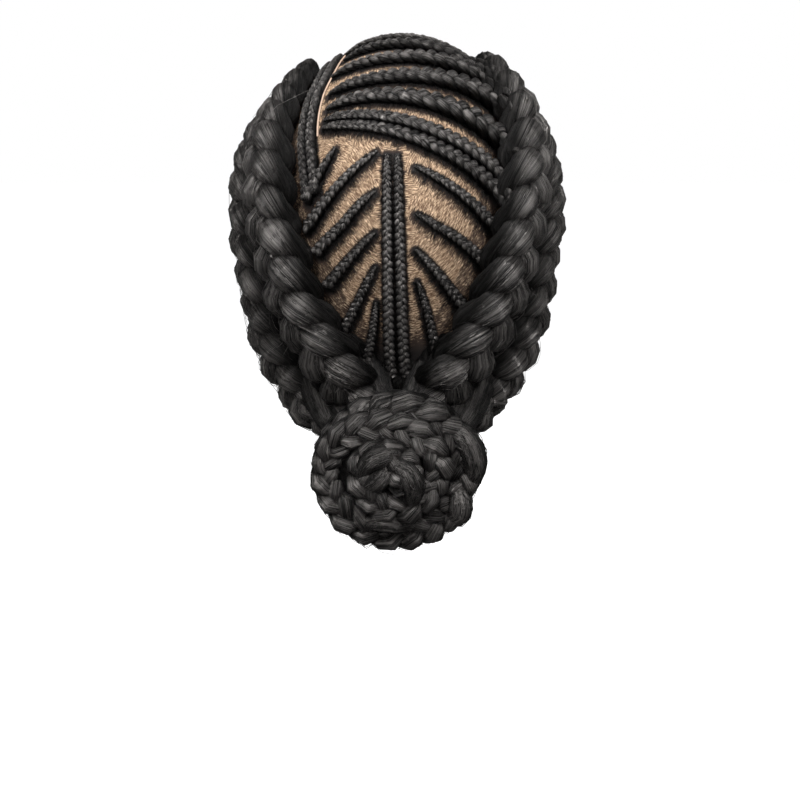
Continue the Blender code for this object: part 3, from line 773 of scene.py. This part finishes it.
# Single fibres lie over each bundle on its open side, and some of them stand off it
spaced = {"Curve": strands, "Length": given["Fibre Step"]}
thin = result(place(tree, "GeometryNodeResampleCurve", spaced, mode="LENGTH"))
copies, which = copied(tree, thin, given["Fibres"])
thin = keep(tree, copies, "which", which)
which = read(tree, "which")
own = number(tree, "MULTIPLY_ADD", read(tree, "strand"), STRAND_STRIDE, which)
own = number(tree, "MULTIPLY_ADD", read(tree, "plait"), PLAIT_STRIDE, own)
drawn = {"ID": own, "Seed": given["Seed"]}
chance = result(place(tree, "FunctionNodeRandomValue", drawn, data_type="FLOAT"))
fibre_count = number(tree, "MAXIMUM", given["Fibres"], 1.0)
stop = number(tree, "DIVIDE", number(tree, "ADD", which, chance), fibre_count)
spot = triple(tree, own_run, times(tree, own, FIBRE_STRIDE), times(tree, chance, CHANCE_STRIDE))
drift = number(tree, "SUBTRACT", noise(tree, spot, DRIFT_PACE, 1.0), 0.5)
curl = noise(tree, way(tree, "ADD", spot, CURL_SHIFT), CURL_PACE, 1.0)
bearing = number(tree, "MULTIPLY_ADD", stop, FIBRE_ARC, FIBRE_ARC_START)
bearing = number(tree, "MULTIPLY_ADD", drift, FIBRE_DRIFT, bearing)
thin = keep(tree, thin, "bearing", bearing)
thin = keep(tree, thin, "chance", chance)
stray = number(tree, "MAXIMUM", number(tree, "SUBTRACT", curl, STRAY_FROM), 0.0)
stray = times(tree, number(tree, "POWER", stray, 2.0), STRAY_GAIN)
looseness = times(tree, given["Looseness"], read(tree, "loose"))
reach = number(tree, "MULTIPLY_ADD", stray, looseness, FIBRE_SEAT)
laid = on_outline(tree, number(tree, "COSINE", bearing), number(tree, "SINE", bearing), reach)
thin = keep_way(tree, thin, "middle", laid)
turned = times(tree, result(place(tree, "GeometryNodeInputIndex")), 2 * np.pi / 3)
ring = keep(tree, ring_of(tree, 3), "turn", turned)
thin = swept(tree, thin, ring)
radius = times(tree, given["Fibre Radius"], number(tree, "ADD", read(tree, "chance"), 0.5))
comb = triple(tree, read(tree, "chance"), times(tree, read(tree, "bearing"), size), combed)
thin = keep_way(tree, thin, "fibre", comb)
thin = keep_way(tree, thin, "round_strand", read_way(tree, "across"))
thin = keep(tree, thin, "painted_shade_height", painted_shade_height_of(tree, given, number(tree, "SINE", read(tree, "bearing"))))
spot = off_middle(tree, times(tree, cosine, radius), times(tree, sine, radius))
thin = result(place(tree, "GeometryNodeSetPosition", {"Geometry": thin, "Position": spot}))
chosen = {"Switch": given["Body"], "True": tube}
body = result(place(tree, "GeometryNodeSwitch", chosen, input_type="GEOMETRY"))
both = place(tree, "GeometryNodeJoinGeometry", {"Geometry": thin})
tree.links.new(body, both.inputs["Geometry"])
close_tree(tree, result(both), given["Finish"], ends)


# height below which the fibres lie wilder, the depth over which that grows, and its bounds
LOOSE_BELOW = -0.13
LOOSE_DEPTH = 0.05
LOOSE_BOUNDS = (0.6, 2.2)
PLAIT_STAGGER = 0.37
SEAT_GAP = 0.0005
KEPT_VALUES = ("fibre", "round_strand", "painted_shade_height")
CAP_FOOT = -CROWN_HEIGHT + NAPE_DROP * HAIRLINE[0][1] / 90


def guide_object(name, plaits):
    """A mesh of the lines that plaits follow. Each plait is its points, the directions off the head
    there, its widths, its thicknesses and how many widths long a strand's way there and back is."""
    points, ups, edges = [], [], []
    values = {label: [] for label in ("width", "thick", "phase", "run", "plait", "loose")}
    for index, (line, up, widths, thicks, crossing) in enumerate(plaits):
        along = lengths(line)
        pace = 2 * np.pi / (crossing * (widths[1:] + widths[:-1]) / 2)
        first = sum(len(part) for part in points)
        edges += [(first + i, first + i + 1) for i in range(len(line) - 1)]
        points.append(line)
        ups.append(up)
        values["width"].append(widths)
        values["thick"].append(thicks)
        values["phase"].append(np.concatenate([[0.0], np.cumsum(np.diff(along) * pace)]) + index)
        values["run"].append(along + PLAIT_STAGGER * index)
        values["plait"].append(np.full(len(line), float(index)))
        values["loose"].append(np.clip(1 + (LOOSE_BELOW - line[:, 2]) / LOOSE_DEPTH, *LOOSE_BOUNDS))
    mesh = bpy.data.meshes.new(name)
    mesh.from_pydata(np.concatenate(points).tolist(), edges, [])
    for label, parts in values.items():
        mesh.attributes.new(label, "FLOAT", "POINT").data.foreach_set("value", np.concatenate(parts))
    up_values = mesh.attributes.new("up", "FLOAT_VECTOR", "POINT").data
    up_values.foreach_set("vector", np.concatenate(ups).ravel())
    made = bpy.data.objects.new(name, mesh)
    bpy.context.scene.collection.objects.link(made)
    return made


def set_tree(thing, tree, **values):
    """Adds a tree to an object as a modifier, with inputs set by their sockets' identifiers."""
    modifier = thing.modifiers.new(tree.name, "NODES")
    modifier.node_group = tree
    for item in tree.interface.items_tree:
        label = item.name.lower().replace(" ", "_")
        if item.in_out == "INPUT" and label in values:
            modifier[item.identifier] = values[label]


def make_real(thing, gap):
    """Turns the modifier's result into the object's own mesh, clear of the cap's wall."""
    evaluated = thing.evaluated_get(bpy.context.evaluated_depsgraph_get())
    mesh = bpy.data.meshes.new_from_object(evaluated)
    thing.modifiers.clear()
    thing.data = mesh
    for label in [a.name for a in mesh.attributes if a.data_type in {"FLOAT", "FLOAT_VECTOR", "INT"}]:
        if not label.startswith(".") and label not in {"position", *KEPT_VALUES}:
            mesh.attributes.remove(mesh.attributes[label])
    for slot in reversed(range(len(mesh.materials))):
        if mesh.materials[slot] is None:
            mesh.materials.pop(index=slot)
    spots = np.empty(len(mesh.vertices) * 3, np.float32)
    mesh.vertices.foreach_get("co", spots)
    spots = spots.reshape(-1, 3).astype(float)
    inside = (level(spots, CAP_WALL + gap) < 1) & (spots[:, 2] > CAP_FOOT)
    spots[inside] = on_form(spots[inside], CAP_WALL + gap)
    mesh.vertices.foreach_set("co", spots.ravel())
    mesh.update()


def worked(name, plaits, tree=plait_tree, finish=braid_hair, gap=SEAT_GAP, **values):
    """A piece that a tree works along the lines of plaits."""
    made = guide_object(name, plaits)
    set_tree(made, tree, finish=finish, **values)
    make_real(made, gap)
    return made


# Cornrows
# Small plaits laid tight on the scalp, worked underhand so that they stand proud. Hair is picked
# up from the scalp as each goes on, so it starts thin at the parting and ends thick at the jumbo.
ROW_CROSSING = 1.8
ROW_RINGS = 14
ROW_THICKNESS_SHARE = 0.62
ROW_SPREAD = 1.04
# share of its width that a row starts with, the share it gains for each width, and the most
ROW_START = 0.5
ROW_GAIN = 0.22
ROW_FULL = 1.06
CROWN_GAIN = 0.22
TAIL_TAPER = 0.3
ROW_GROUPS = {
    "crown_rows_braided": ("crown_row_", "crown_pair_"),
    "parting_rows_braided": ("parting_row_",),
    "back_rows_braided": ("centre_pair_", "left_row_", "right_row_"),
}


def paced(points, values, share):
    """The line and its values at steps that are a share of the value there."""
    along = lengths(points)
    stops = [0.0]
    while stops[-1] < along[-1]:
        stops.append(stops[-1] + share * np.interp(stops[-1], along, values))
    stops = np.array(stops[:-1])
    line = np.stack([np.interp(stops, along, points[:, axis]) for axis in range(3)], axis=1)
    return line, np.interp(stops, along, values)


for piece_name, starts in ROW_GROUPS.items():
    names = [name for name in row_lines if name.startswith(starts)]
    plaits = []
    for name in names:
        line, widths = paced(*row_lines[name], ROW_CROSSING / ROW_RINGS)
        ups = normals_off(line)
        along = lengths(line)
        widths = widths * np.clip(ROW_START + along / widths[0] * ROW_GAIN, 0, ROW_FULL)
        if name.startswith("crown_row"):
            widths = widths * (1 + CROWN_GAIN * along / along[-1])
        height = SEAT_GAP + widths * (ROW_RISE - ROW_THICKNESS_SHARE / 2)
        if name in row_tails:
            tail_length, climb = row_tails[name]
            ending = np.clip(1 - (along[-1] - along) / tail_length, 0, 1)
            height = height + climb * ending**2 * (3 - 2 * ending)
            widths = widths * (1 - TAIL_TAPER * ending**2)
        centres = on_form(line) + ups * height[:, None]
        thicks = widths * ROW_THICKNESS_SHARE
        plaits.append((centres, ups, widths * ROW_SPREAD, thicks, ROW_CROSSING))
    piece = worked(
        piece_name, plaits, sides=10, groove_depth=0.08, grooves=2.0, fullness=1.1, openness=1.1,
        fibres=2, fibre_step=0.0024, fibre_radius=0.00013, looseness=0.12, seed=3,
    )
    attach(piece, "root")
    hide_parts(*names)

# Root hairs
# The short hair of each parting, combed flat over the lace and drawn in under the row beside it. It
# feathers out below the row and is cropped close above it.
ROOT_SPACING = 0.00025
ROOT_LIFT = 0.0002
ROOT_CLEARANCE = 0.00005
# shares of the row's width: from its middle to where the hairs start, and of their length under it
ROOT_START_SHARE = 0.3
ROOT_COVER_SHARE = 0.2
ROOT_TILT = 0.03
FALL_GAIN = 1.5
# the shortest hair as a share of the reach, and how much longer another is by chance
SHORTEST = 0.2
LONGER = 0.9
# clumps of the hairs: waves for each metre, how sharply they part, and the least that is left
CLUMP_SCALE = 260.0
CLUMP_GAIN = 3.4
CLUMP_CUT = -0.8
CLUMP_LEAST = 0.15
ROOT_PAINTED_SHADE_HEIGHT = 0.45
root_tree, given, ends = open_tree(
    "Root hairs",
    (
        ("Geometry", "NodeSocketGeometry", None),
        ("Spacing", "NodeSocketFloat", ROOT_SPACING),
        ("Reach Above", "NodeSocketFloat", 0.0020),
        ("Reach Below", "NodeSocketFloat", 0.0072),
        ("Hair Radius", "NodeSocketFloat", 0.00022),
        ("Seed", "NodeSocketInt", 21),
        ("Finish", "NodeSocketMaterial", None),
    ),
)
tree = root_tree
line = result(place(tree, "GeometryNodeMeshToCurve", {"Mesh": given["Geometry"]}))
copies, which = copied(tree, line, 2)
hand = number(tree, "MULTIPLY_ADD", which, 2.0, -1.0)
tangent = way(tree, "NORMALIZE", result(place(tree, "GeometryNodeInputTangent")))
side = way(tree, "NORMALIZE", way(tree, "CROSS_PRODUCT", read_way(tree, "up"), tangent))
line = keep_way(tree, copies, "side_way", way(tree, "SCALE", side, hand))
line = keep_way(tree, line, "run_way", tangent)
side = read_way(tree, "side_way")
moved = way(tree, "SCALE", side, times(tree, read(tree, "width"), ROOT_START_SHARE))
line = result(place(tree, "GeometryNodeSetPosition", {"Geometry": line, "Offset": moved}))
spaced = {"Curve": line, "Length": given["Spacing"]}
stems = result(place(tree, "GeometryNodeCurveToPoints", spaced, mode="LENGTH"))
index = result(place(tree, "GeometryNodeInputIndex"))
drawn = {"ID": index, "Seed": given["Seed"]}
slant = result(place(tree, "FunctionNodeRandomValue", drawn, data_type="FLOAT"))
slant = number(tree, "MULTIPLY_ADD", slant, 1.0, -0.5)
drawn = {"ID": index, "Seed": number(tree, "ADD", given["Seed"], 1.0)}
chance = result(place(tree, "FunctionNodeRandomValue", drawn, data_type="FLOAT"))
clump = noise(tree, triple(tree, read(tree, "run"), read(tree, "plait")), CLUMP_SCALE, 0.0)
heading = way(tree, "ADD", side, way(tree, "SCALE", read_way(tree, "run_way"), slant))
heading = way(tree, "ADD", heading, way(tree, "SCALE", read_way(tree, "up"), ROOT_TILT))
fall = times(tree, way(tree, "DOT_PRODUCT", side, (0.0, 0.0, -1.0)), FALL_GAIN)
fall = number(tree, "MINIMUM", number(tree, "MAXIMUM", fall, 0.0), 1.0)
gain = number(tree, "SUBTRACT", given["Reach Below"], given["Reach Above"])
cover = number(tree, "MULTIPLY_ADD", fall, gain, given["Reach Above"])
cover = times(tree, cover, number(tree, "MULTIPLY_ADD", chance, LONGER, SHORTEST))
clump = number(tree, "MULTIPLY_ADD", clump, CLUMP_GAIN, CLUMP_CUT)
cover = times(tree, cover, number(tree, "MAXIMUM", clump, CLUMP_LEAST))
cover = number(tree, "MULTIPLY_ADD", read(tree, "width"), ROOT_COVER_SHARE, cover)
hair = place(tree, "GeometryNodeMeshCone", {
    "Vertices": 3,
    "Side Segments": 1,
    "Fill Segments": 1,
    "Radius Top": 0.0,
    "Radius Bottom": given["Hair Radius"],
    "Depth": 1.0,
})
turned = place(tree, "FunctionNodeAlignRotationToVector", {"Vector": heading}, axis="Z")
hairs = place(tree, "GeometryNodeInstanceOnPoints", {
    "Points": stems,
    "Instance": result(hair),
    "Rotation": result(turned),
    "Scale": triple(tree, 1.0, 1.0, cover),
})
hairs = result(place(tree, "GeometryNodeRealizeInstances", {"Geometry": result(hairs)}))
# all root hairs take one level of the painted shade
hairs = keep(tree, hairs, "painted_shade_height", ROOT_PAINTED_SHADE_HEIGHT)
hairs = keep_way(tree, hairs, "fibre", result(place(tree, "GeometryNodeInputPosition")))
hairs = keep_way(tree, hairs, "round_strand", read_way(tree, "up"))
close_tree(tree, hairs, given["Finish"], ends)

plaits = []
for line, widths in rooted_lines.values():
    ups = normals_off(line)
    plaits.append((line + ups * ROOT_LIFT, ups, widths, widths, ROW_CROSSING))
piece = worked("root_hairs", plaits, tree=root_tree, gap=ROOT_CLEARANCE)
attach(piece, "root")

# Parting edge
# The cut edge of the lace shows as a thin pale line along the parting, beside the upper row.
EDGE_WIDTH = 0.0011
EDGE_THICKNESS_SHARE = 0.8
EDGE_GAP = 0.0002
# the points of the parting's line where the edge shows
EDGE_SHOWN = slice(24, 66)
# a crossing longer than anything that isn't plaited
UNPLAITED = 1e3
SINGLE_STRAND = {"strands": 1, "strand_width_share": 0.5, "strand_depth_share": 0.5}
pale_lace, tree, shader = new_finish("pale_lace")
shader.inputs["Base Color"].default_value = (0.50, 0.36, 0.27, 1)
shader.inputs["Roughness"].default_value = 0.9
edge_reach = parting_reach - PARTING_ROW_WIDTHS[1] / 2 + EDGE_GAP
edge_line = beside(parting_under, edge_reach)[EDGE_SHOWN]
ups = normals_off(edge_line)
centres = edge_line + ups * (SEAT_GAP + EDGE_WIDTH / 2)
sizes = np.full(len(edge_line), EDGE_WIDTH)
piece = worked(
    "parting_edge", [(centres, ups, sizes, sizes * EDGE_THICKNESS_SHARE, UNPLAITED)], **SINGLE_STRAND,
    finish=pale_lace, sides=8, groove_depth=0.0, unevenness=0.2, fibres=0,
)
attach(piece, "root")

# Jumbo plaits
# Four thick plaits of combed fibre, two on each side, that take up the ends of the cornrows. They
# run from the front hairline round the sides to the nape, where they tuck into the bun.
JUMBO_CROSSING = 1.5
JUMBO_RINGS = 22
JUMBO_TUCK = 0.03
JUMBO_TUCK_TAPER = 0.4
LEFT_SLIMMER = 0.24
LEFT_SLIM_AT = 0.075
LEFT_SLIM_REACH = 0.045
FIBRES_SHOWN = {"inner": 46, "outer": 33}
worn_plaits = []
for part, (line, widths) in jumbo_lines.items():
    line, widths = paced(line, widths, JUMBO_CROSSING / JUMBO_RINGS)
    along = lengths(line)
    tuck = np.clip(1 - (along[-1] - along) / JUMBO_TUCK, 0, 1)
    widths = widths * (1 - JUMBO_TUCK_TAPER * tuck**2)
    ups = normals_off(line)
    for hand, flip in (("right", 1.0), ("left", MIRROR)):
        name = f"{part}_jumbo_{hand}"
        if name == "inner_jumbo_left":
            slim = np.exp(-(((along - LEFT_SLIM_AT) / LEFT_SLIM_REACH) ** 2))
            widths = widths * (1 - LEFT_SLIMMER * slim)
        thicks = widths * JUMBO_THICKNESS_SHARE
        centres = line + ups * (SEAT_GAP + thicks / 2)[:, None]
        plait = (centres * flip, ups * flip, widths, thicks, JUMBO_CROSSING)
        worn_plaits.append(plait)
        piece = worked(
            f"{name}_plait", [plait], sides=32, groove_depth=0.13, grooves=4.0, fullness=1.08,
            unevenness=0.28, openness=1.12, fibres=FIBRES_SHOWN[part], fibre_step=0.0046,
            fibre_radius=0.00018, looseness=0.07, seed=5,
        )
        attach(piece, "root")
        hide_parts(name)

# Bun
# The tails of the jumbo plaits are gathered at the nape, plaited slimmer and wound into a coil
# that spirals in to a knot at its middle. Pins hidden inside hold it.
BUN_BELOW_NAPE = 0.041
BUN_LEAN = np.radians(4.0)
BUN_HALF_WIDTH = 0.052
BUN_HALF_HEIGHT = 0.046
OUTER_COIL_SIZE = 0.022
BACK_COIL_SIZE = 0.020
BACK_COIL_INSET = 0.004
COIL_CROSSING = 1.5
COIL_RINGS = 14
COIL_THICKNESS_SHARE = 0.95
COIL_POINTS = 900
BACK_COIL_POINTS = 200
# most, pace and start of the waves by which the coil strays from an even spiral
REACH_STRAY = (0.03, 17.0, 0.6)
DEPTH_STRAY = (0.0016, 23.0, 0.0)
SIZE_STRAY = (0.10, 13.0, 1.0)
REACH_STRAY_SHARE = 0.7
ring_x = BUN_HALF_WIDTH - OUTER_COIL_SIZE / 2
ring_z = BUN_HALF_HEIGHT - OUTER_COIL_SIZE / 2
bun_up = np.array([0, -np.sin(BUN_LEAN), np.cos(BUN_LEAN)])
bun_out = np.array([0, -np.cos(BUN_LEAN), -np.sin(BUN_LEAN)])
bun_middle = np.array([
    0.0,
    (ring_z - BACK_COIL_INSET) * np.sin(BUN_LEAN) - NECK_BACK - CAP_WALL - SIDE_GAP - BACK_COIL_SIZE / 2,
    -CROWN_HEIGHT - NAPE_DROP - BUN_BELOW_NAPE,
])
# turns from the top, share of the outer ring's size, depth in front of the back coil, size
COIL = (
    (-0.22, 1.04, 0.002, 0.019),
    (-0.10, 1.00, 0.013, 0.024),
    (0.06, 0.98, 0.0190, 0.025),
    (0.27, 0.98, 0.0195, 0.023),
    (0.43, 1.06, 0.0195, 0.024),
    (0.59, 1.07, 0.0195, 0.024),
    (0.79, 0.97, 0.0200, 0.023),
    (0.95, 0.84, 0.0240, 0.023),
    (1.10, 0.66, 0.0300, 0.022),
    (1.30, 0.57, 0.0325, 0.022),
    (1.55, 0.54, 0.0335, 0.022),
    (1.80, 0.51, 0.0340, 0.021),
    (2.00, 0.34, 0.0365, 0.020),
    (2.20, 0.20, 0.0390, 0.019),
    (2.50, 0.10, 0.0400, 0.018),
    (2.75, 0.09, 0.0400, 0.016),
)


def bun_spots(turns, shares, depths):
    """Points round the bun's middle, by turns from its top and depths in front of its back coil."""
    angle = (2 * np.pi * turns)[:, None]
    flat = np.sin(angle) * [ring_x, 0, 0] + np.cos(angle) * bun_up * ring_z
    return bun_middle + flat * shares[:, None] + bun_out * depths[:, None]


def strayed(turns, most, pace, start):
    return most * np.sin(turns * pace + start)


def facing_out(line):
    """The direction out of the bun's face, for each point of a line."""
    return np.tile(bun_out, (len(line), 1))


coil = smooth(COIL, np.linspace(0, 1, COIL_POINTS))
turns = coil[:, 0]
coil[:, 1] += strayed(turns, *REACH_STRAY) * np.clip(coil[:, 1], 0, REACH_STRAY_SHARE)
coil[:, 2] += strayed(turns, *DEPTH_STRAY)
coil[:, 3] *= 1 + strayed(turns, *SIZE_STRAY)
line, sizes = paced(bun_spots(turns, coil[:, 1], coil[:, 2]), coil[:, 3], COIL_CROSSING / COIL_RINGS)
worn_plaits.append((line, facing_out(line), sizes, sizes * COIL_THICKNESS_SHARE, COIL_CROSSING))
piece = worked(
    "bun_coil_plait", worn_plaits[-1:], sides=26, groove_depth=0.09, grooves=3.0, fullness=1.1,
    unevenness=0.35, fibres=20, fibre_step=0.0036, fibre_radius=0.00017, looseness=0.07, seed=7,
)
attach(piece, "root")
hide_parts("bun_outer_coil", "bun_face_coil", "bun_knot")

turns = np.linspace(-0.04, 1.0, BACK_COIL_POINTS)
shares = np.full(BACK_COIL_POINTS, 1 - BACK_COIL_INSET / ring_z)
sizes = np.full(BACK_COIL_POINTS, BACK_COIL_SIZE)
line, sizes = paced(bun_spots(turns, shares, turns * 0), sizes, COIL_CROSSING / COIL_RINGS)
piece = worked(
    "bun_back_plait", [(line, facing_out(line), sizes, sizes, COIL_CROSSING)], sides=14,
    groove_depth=0.07, grooves=3.0, fullness=1.05, fibres=6, fibre_step=0.005, looseness=0.06, seed=9,
)
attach(piece, "root")
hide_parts("bun_back_coil")

# Bun locks
# A few bundles that worked loose from the coil and were laid over its face: three over the knot, a
# long smooth one round the right edge and two short ones low down.
LOCK_POINTS = 40
LOCK_THICKNESS_SHARE = 0.8
LOCK_ENDS = (0.06, 0.94)
LOCK_FULLNESS = 0.6
# width, then stations across and up from the bun's middle and in front of its back coil
FACE_LOCKS = (
    (0.013, (-0.022, 0.0, 0.04), (-0.015, 0.01, 0.0445), (-0.006, 0.014, 0.0445), (0.002, 0.013, 0.041)),
    (0.012, (-0.02, -0.01, 0.035), (-0.014, -0.005, 0.0405), (-0.008, 0.001, 0.0425), (-0.002, 0.008, 0.039)),
    (0.014, (-0.002, 0.01, 0.0445), (0.006, 0.004, 0.0475), (0.01, -0.006, 0.0475), (0.008, -0.016, 0.043)),
    (0.015, (0.029, 0.027, 0.024), (0.04, 0.02, 0.0275), (0.046, 0.004, 0.0275), (0.041, -0.013, 0.023)),
    (0.013, (0.03, -0.03, 0.026), (0.036, -0.026, 0.029), (0.037, -0.018, 0.029), (0.035, -0.01, 0.026)),
    (0.014, (-0.02, -0.03, 0.03), (-0.01, -0.028, 0.0355), (0.0, -0.029, 0.0355), (0.01, -0.032, 0.03)),
)


def lock(line, full):
    """A loose bundle along a line over the bun's face, as wide as it says at each point."""
    return line, facing_out(line), full, full * LOCK_THICKNESS_SHARE, UNPLAITED


def bulging(lock_width, ends, fullness, count):
    """Widths of a lock that is thin at its ends and full between them."""
    return lock_width * np.sin(np.pi * np.linspace(*ends, count)) ** fullness


locks = []
for lock_width, *stations in FACE_LOCKS:
    spots = smooth(stations, np.linspace(0, 1, LOCK_POINTS))
    line = bun_middle + spots[:, :1] * [1, 0, 0] + spots[:, 1:2] * bun_up + spots[:, 2:] * bun_out
    locks.append(lock(line, bulging(lock_width, LOCK_ENDS, LOCK_FULLNESS, LOCK_POINTS)))
piece = worked(
    "bun_face_locks", locks, **SINGLE_STRAND, sides=24, groove_depth=0.1, grooves=3.0, openness=0.92,
    fibres=26, fibre_step=0.003, looseness=0.06, seed=13,
)
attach(piece, "root")

# Gathered tails
# Combed, unplaited hair: the core that the coil is wound on, and the locks from the lowest rows
# and the nape that are swept down over the cap into it.
CORE_POINTS = 60
NAPE_LOCK_POINTS = 70
SWEEP_POINTS = 50
SWEEP_ENDS = (0.1, 0.9)
SWEEP_FULLNESS = 0.5
# depth in front of the back coil, width, height
CORE = (
    (-0.009, 0.044, 0.036),
    (0.0, 0.066, 0.054),
    (0.011, 0.076, 0.064),
    (0.022, 0.074, 0.062),
    (0.033, 0.052, 0.042),
)
# azimuth and latitude where a lock starts, width
NAPE_LOCKS = (
    (-13, -66, 0.012),
    (-6, -72, 0.013),
    (1, -74, 0.013),
    (8, -72, 0.013),
    (15, -66, 0.012),
)
NAPE_LOCK_END = -118
NAPE_LOCK_DRAWN_IN = 0.6
NAPE_LOCK_THICKNESS_SHARE = 0.6
NAPE_LOCK_RISE = 0.2
# a nape lock grows from its start, and is full from half way on
NAPE_LOCK_GROWTH = (0.02, 1.2)
# the width of a sweep from the ends of the jumbo plaits to the bun, then its stations as x, y, z
SWEEPS = (
    (
        0.02, (0.026, -0.062, -0.17), (0.021, -0.068, -0.184),
        (0.014, -0.076, -0.198), (0.006, -0.084, -0.212),
    ),
    (
        0.02, (0.054, -0.046, -0.184), (0.05, -0.058, -0.198),
        (0.044, -0.07, -0.212), (0.034, -0.08, -0.228),
    ),
    (
        0.022, (0.042, -0.056, -0.184), (0.038, -0.064, -0.196),
        (0.032, -0.072, -0.21), (0.024, -0.082, -0.226),
    ),
)
share = np.linspace(0, 1, CORE_POINTS)
depths, widths, heights = (np.interp(share, np.linspace(0, 1, len(CORE)), part) for part in zip(*CORE))
line = bun_middle + bun_out * depths[:, None]
locks = [(line, np.tile(bun_up, (CORE_POINTS, 1)), widths, heights, UNPLAITED)]
for azimuth, first, lock_width in NAPE_LOCKS:
    azimuths = azimuth * np.linspace(1, NAPE_LOCK_DRAWN_IN, NAPE_LOCK_POINTS)
    line = head_points(azimuths, np.linspace(first, NAPE_LOCK_END, NAPE_LOCK_POINTS))
    ups = normals_off(line)
    grown = np.clip(np.linspace(*NAPE_LOCK_GROWTH, NAPE_LOCK_POINTS), 0, 0.5)
    full = lock_width * np.sin(np.pi * grown)
    centres = line + ups * (full * NAPE_LOCK_RISE)[:, None]
    locks.append((centres, ups, full, full * NAPE_LOCK_THICKNESS_SHARE, UNPLAITED))
for lock_width, *stations in SWEEPS:
    for flip in (1.0, MIRROR):
        line = smooth(stations, np.linspace(0, 1, SWEEP_POINTS)) * flip
        locks.append(lock(line, bulging(lock_width, SWEEP_ENDS, SWEEP_FULLNESS, SWEEP_POINTS)))
piece = worked(
    "gathered_hair", locks, **SINGLE_STRAND, sides=26, groove_depth=0.08, grooves=4.0, openness=0.55,
    fibres=12, fibre_step=0.005, looseness=0.02, seed=11,
)
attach(piece, "root")
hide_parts("gathered_tails")

# Flyaways
# Fine single hairs that stand off the plaits, more of them low down, and a few long loose ones that
# lie over the jumbo plaits. They are what softens the wig's outline.
LONG_HAIR_POINTS = 40
LONG_HAIR_SPREAD = 0.006
LONG_HAIR_THICKNESS_SHARE = 0.6
# azimuth, latitude, height over the form
LONG_HAIRS = (
    ((-42, 44, 0.008), (-52, 31, 0.024), (-60, 20, 0.028), (-70, 10, 0.025)),
    ((-66, -18, 0.024), (-62, -34, 0.028), (-52, -44, 0.029), (-40, -42, 0.026)),
    ((-68, -32, 0.022), (-62, -48, 0.028), (-52, -58, 0.029), (-42, -54, 0.026)),
    ((-36, -10, 0.006), (-42, -26, 0.020), (-46, -44, 0.028), (-38, -62, 0.028)),
    ((48, -30, 0.026), (56, -42, 0.028), (64, -50, 0.027), (72, -48, 0.022)),
)
piece = worked(
    "flyaway_hairs", worn_plaits, body=False, fibres=4, fibre_step=0.0031, fibre_radius=0.00013,
    looseness=0.23, seed=31,
)
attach(piece, "root")

plaits = []
for stations in LONG_HAIRS:
    turn, rise, height = smooth(stations, np.linspace(0, 1, LONG_HAIR_POINTS)).T
    line = head_points(turn, rise)
    ups = normals_off(line)
    sizes = np.full(LONG_HAIR_POINTS, LONG_HAIR_SPREAD)
    centres = line + ups * height[:, None]
    plaits.append((centres, ups, sizes, sizes * LONG_HAIR_THICKNESS_SHARE, UNPLAITED))
piece = worked(
    "long_loose_hairs", plaits, **SINGLE_STRAND, body=False, fibres=3, fibre_step=0.002,
    fibre_radius=0.00009, looseness=0.3, seed=33,
)
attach(piece, "root")

# Studio
# A pale floor under the wig, as the photograph's white surround, soft boxes on both sides and
# above, and the camera behind the head at its height.
FLOOR_HEIGHT = -0.42
FLOOR_SIZE = 12
FLOOR_GLOW = 0.95
SURROUND_LIGHT = 0.12
LIGHT_AIM = Vector((0, 0, -0.12))
CAMERA_AIM = Vector((0.002, 0.0, -0.218))
CAMERA_ELEVATION = np.radians(8)
CAMERA_DISTANCE = 1.6
CAMERA_LENS = 116.1
# name, place, size, power
LIGHTS = (
    ("key_left", (-0.60, -1.10, 0.70), 0.30, 12.5),
    ("key_right", (0.70, -1.05, 0.65), 0.30, 13.5),
    ("top", (0.0, -0.45, 1.1), 0.4, 14.0),
    ("low_fill", (0.0, -1.4, -0.3), 0.8, 2.5),
)
bpy.ops.mesh.primitive_plane_add(size=FLOOR_SIZE, location=(0, 0, FLOOR_HEIGHT))
floor = bpy.context.object
floor.name = "floor"
floor_finish, tree, shader = new_finish("pale_floor")
shader.inputs["Base Color"].default_value = (0.6, 0.6, 0.6, 1)
shader.inputs["Roughness"].default_value = 0.9
shader.inputs["Emission Color"].default_value = (1, 1, 1, 1)
shader.inputs["Emission Strength"].default_value = FLOOR_GLOW
floor.data.materials.append(floor_finish)
floor.visible_diffuse = False
floor.visible_glossy = False

for light_name, spot, size, power in LIGHTS:
    lamp = bpy.data.lights.new(light_name, "AREA")
    lamp.shape = "DISK"
    lamp.size = size
    lamp.energy = power
    holder = bpy.data.objects.new(light_name, lamp)
    holder.location = spot
    holder.rotation_euler = (LIGHT_AIM - Vector(spot)).to_track_quat("-Z", "Y").to_euler()
    bpy.context.scene.collection.objects.link(holder)
world = bpy.data.worlds.new("studio")
world.use_nodes = True
tree = world.node_tree
seen = place(tree, "ShaderNodeLightPath").outputs["Is Camera Ray"]
surround = place(tree, "ShaderNodeMapRange", {"Value": seen, "To Min": SURROUND_LIGHT, "To Max": 1.0})
tree.links.new(surround.outputs["Result"], tree.nodes["Background"].inputs["Strength"])
tree.nodes["Background"].inputs["Color"].default_value = (1, 1, 1, 1)
bpy.context.scene.world = world
bpy.context.scene.view_settings.view_transform = "Standard"

camera = bpy.data.objects.new("camera", bpy.data.cameras.new("camera"))
camera.data.lens = CAMERA_LENS
camera.data.sensor_width = 36
back = Vector((0, -np.cos(CAMERA_ELEVATION), np.sin(CAMERA_ELEVATION)))
camera.location = CAMERA_AIM + back * CAMERA_DISTANCE
camera.rotation_euler = (-back).to_track_quat("-Z", "Y").to_euler()
bpy.context.scene.collection.objects.link(camera)
bpy.context.scene.camera = camera
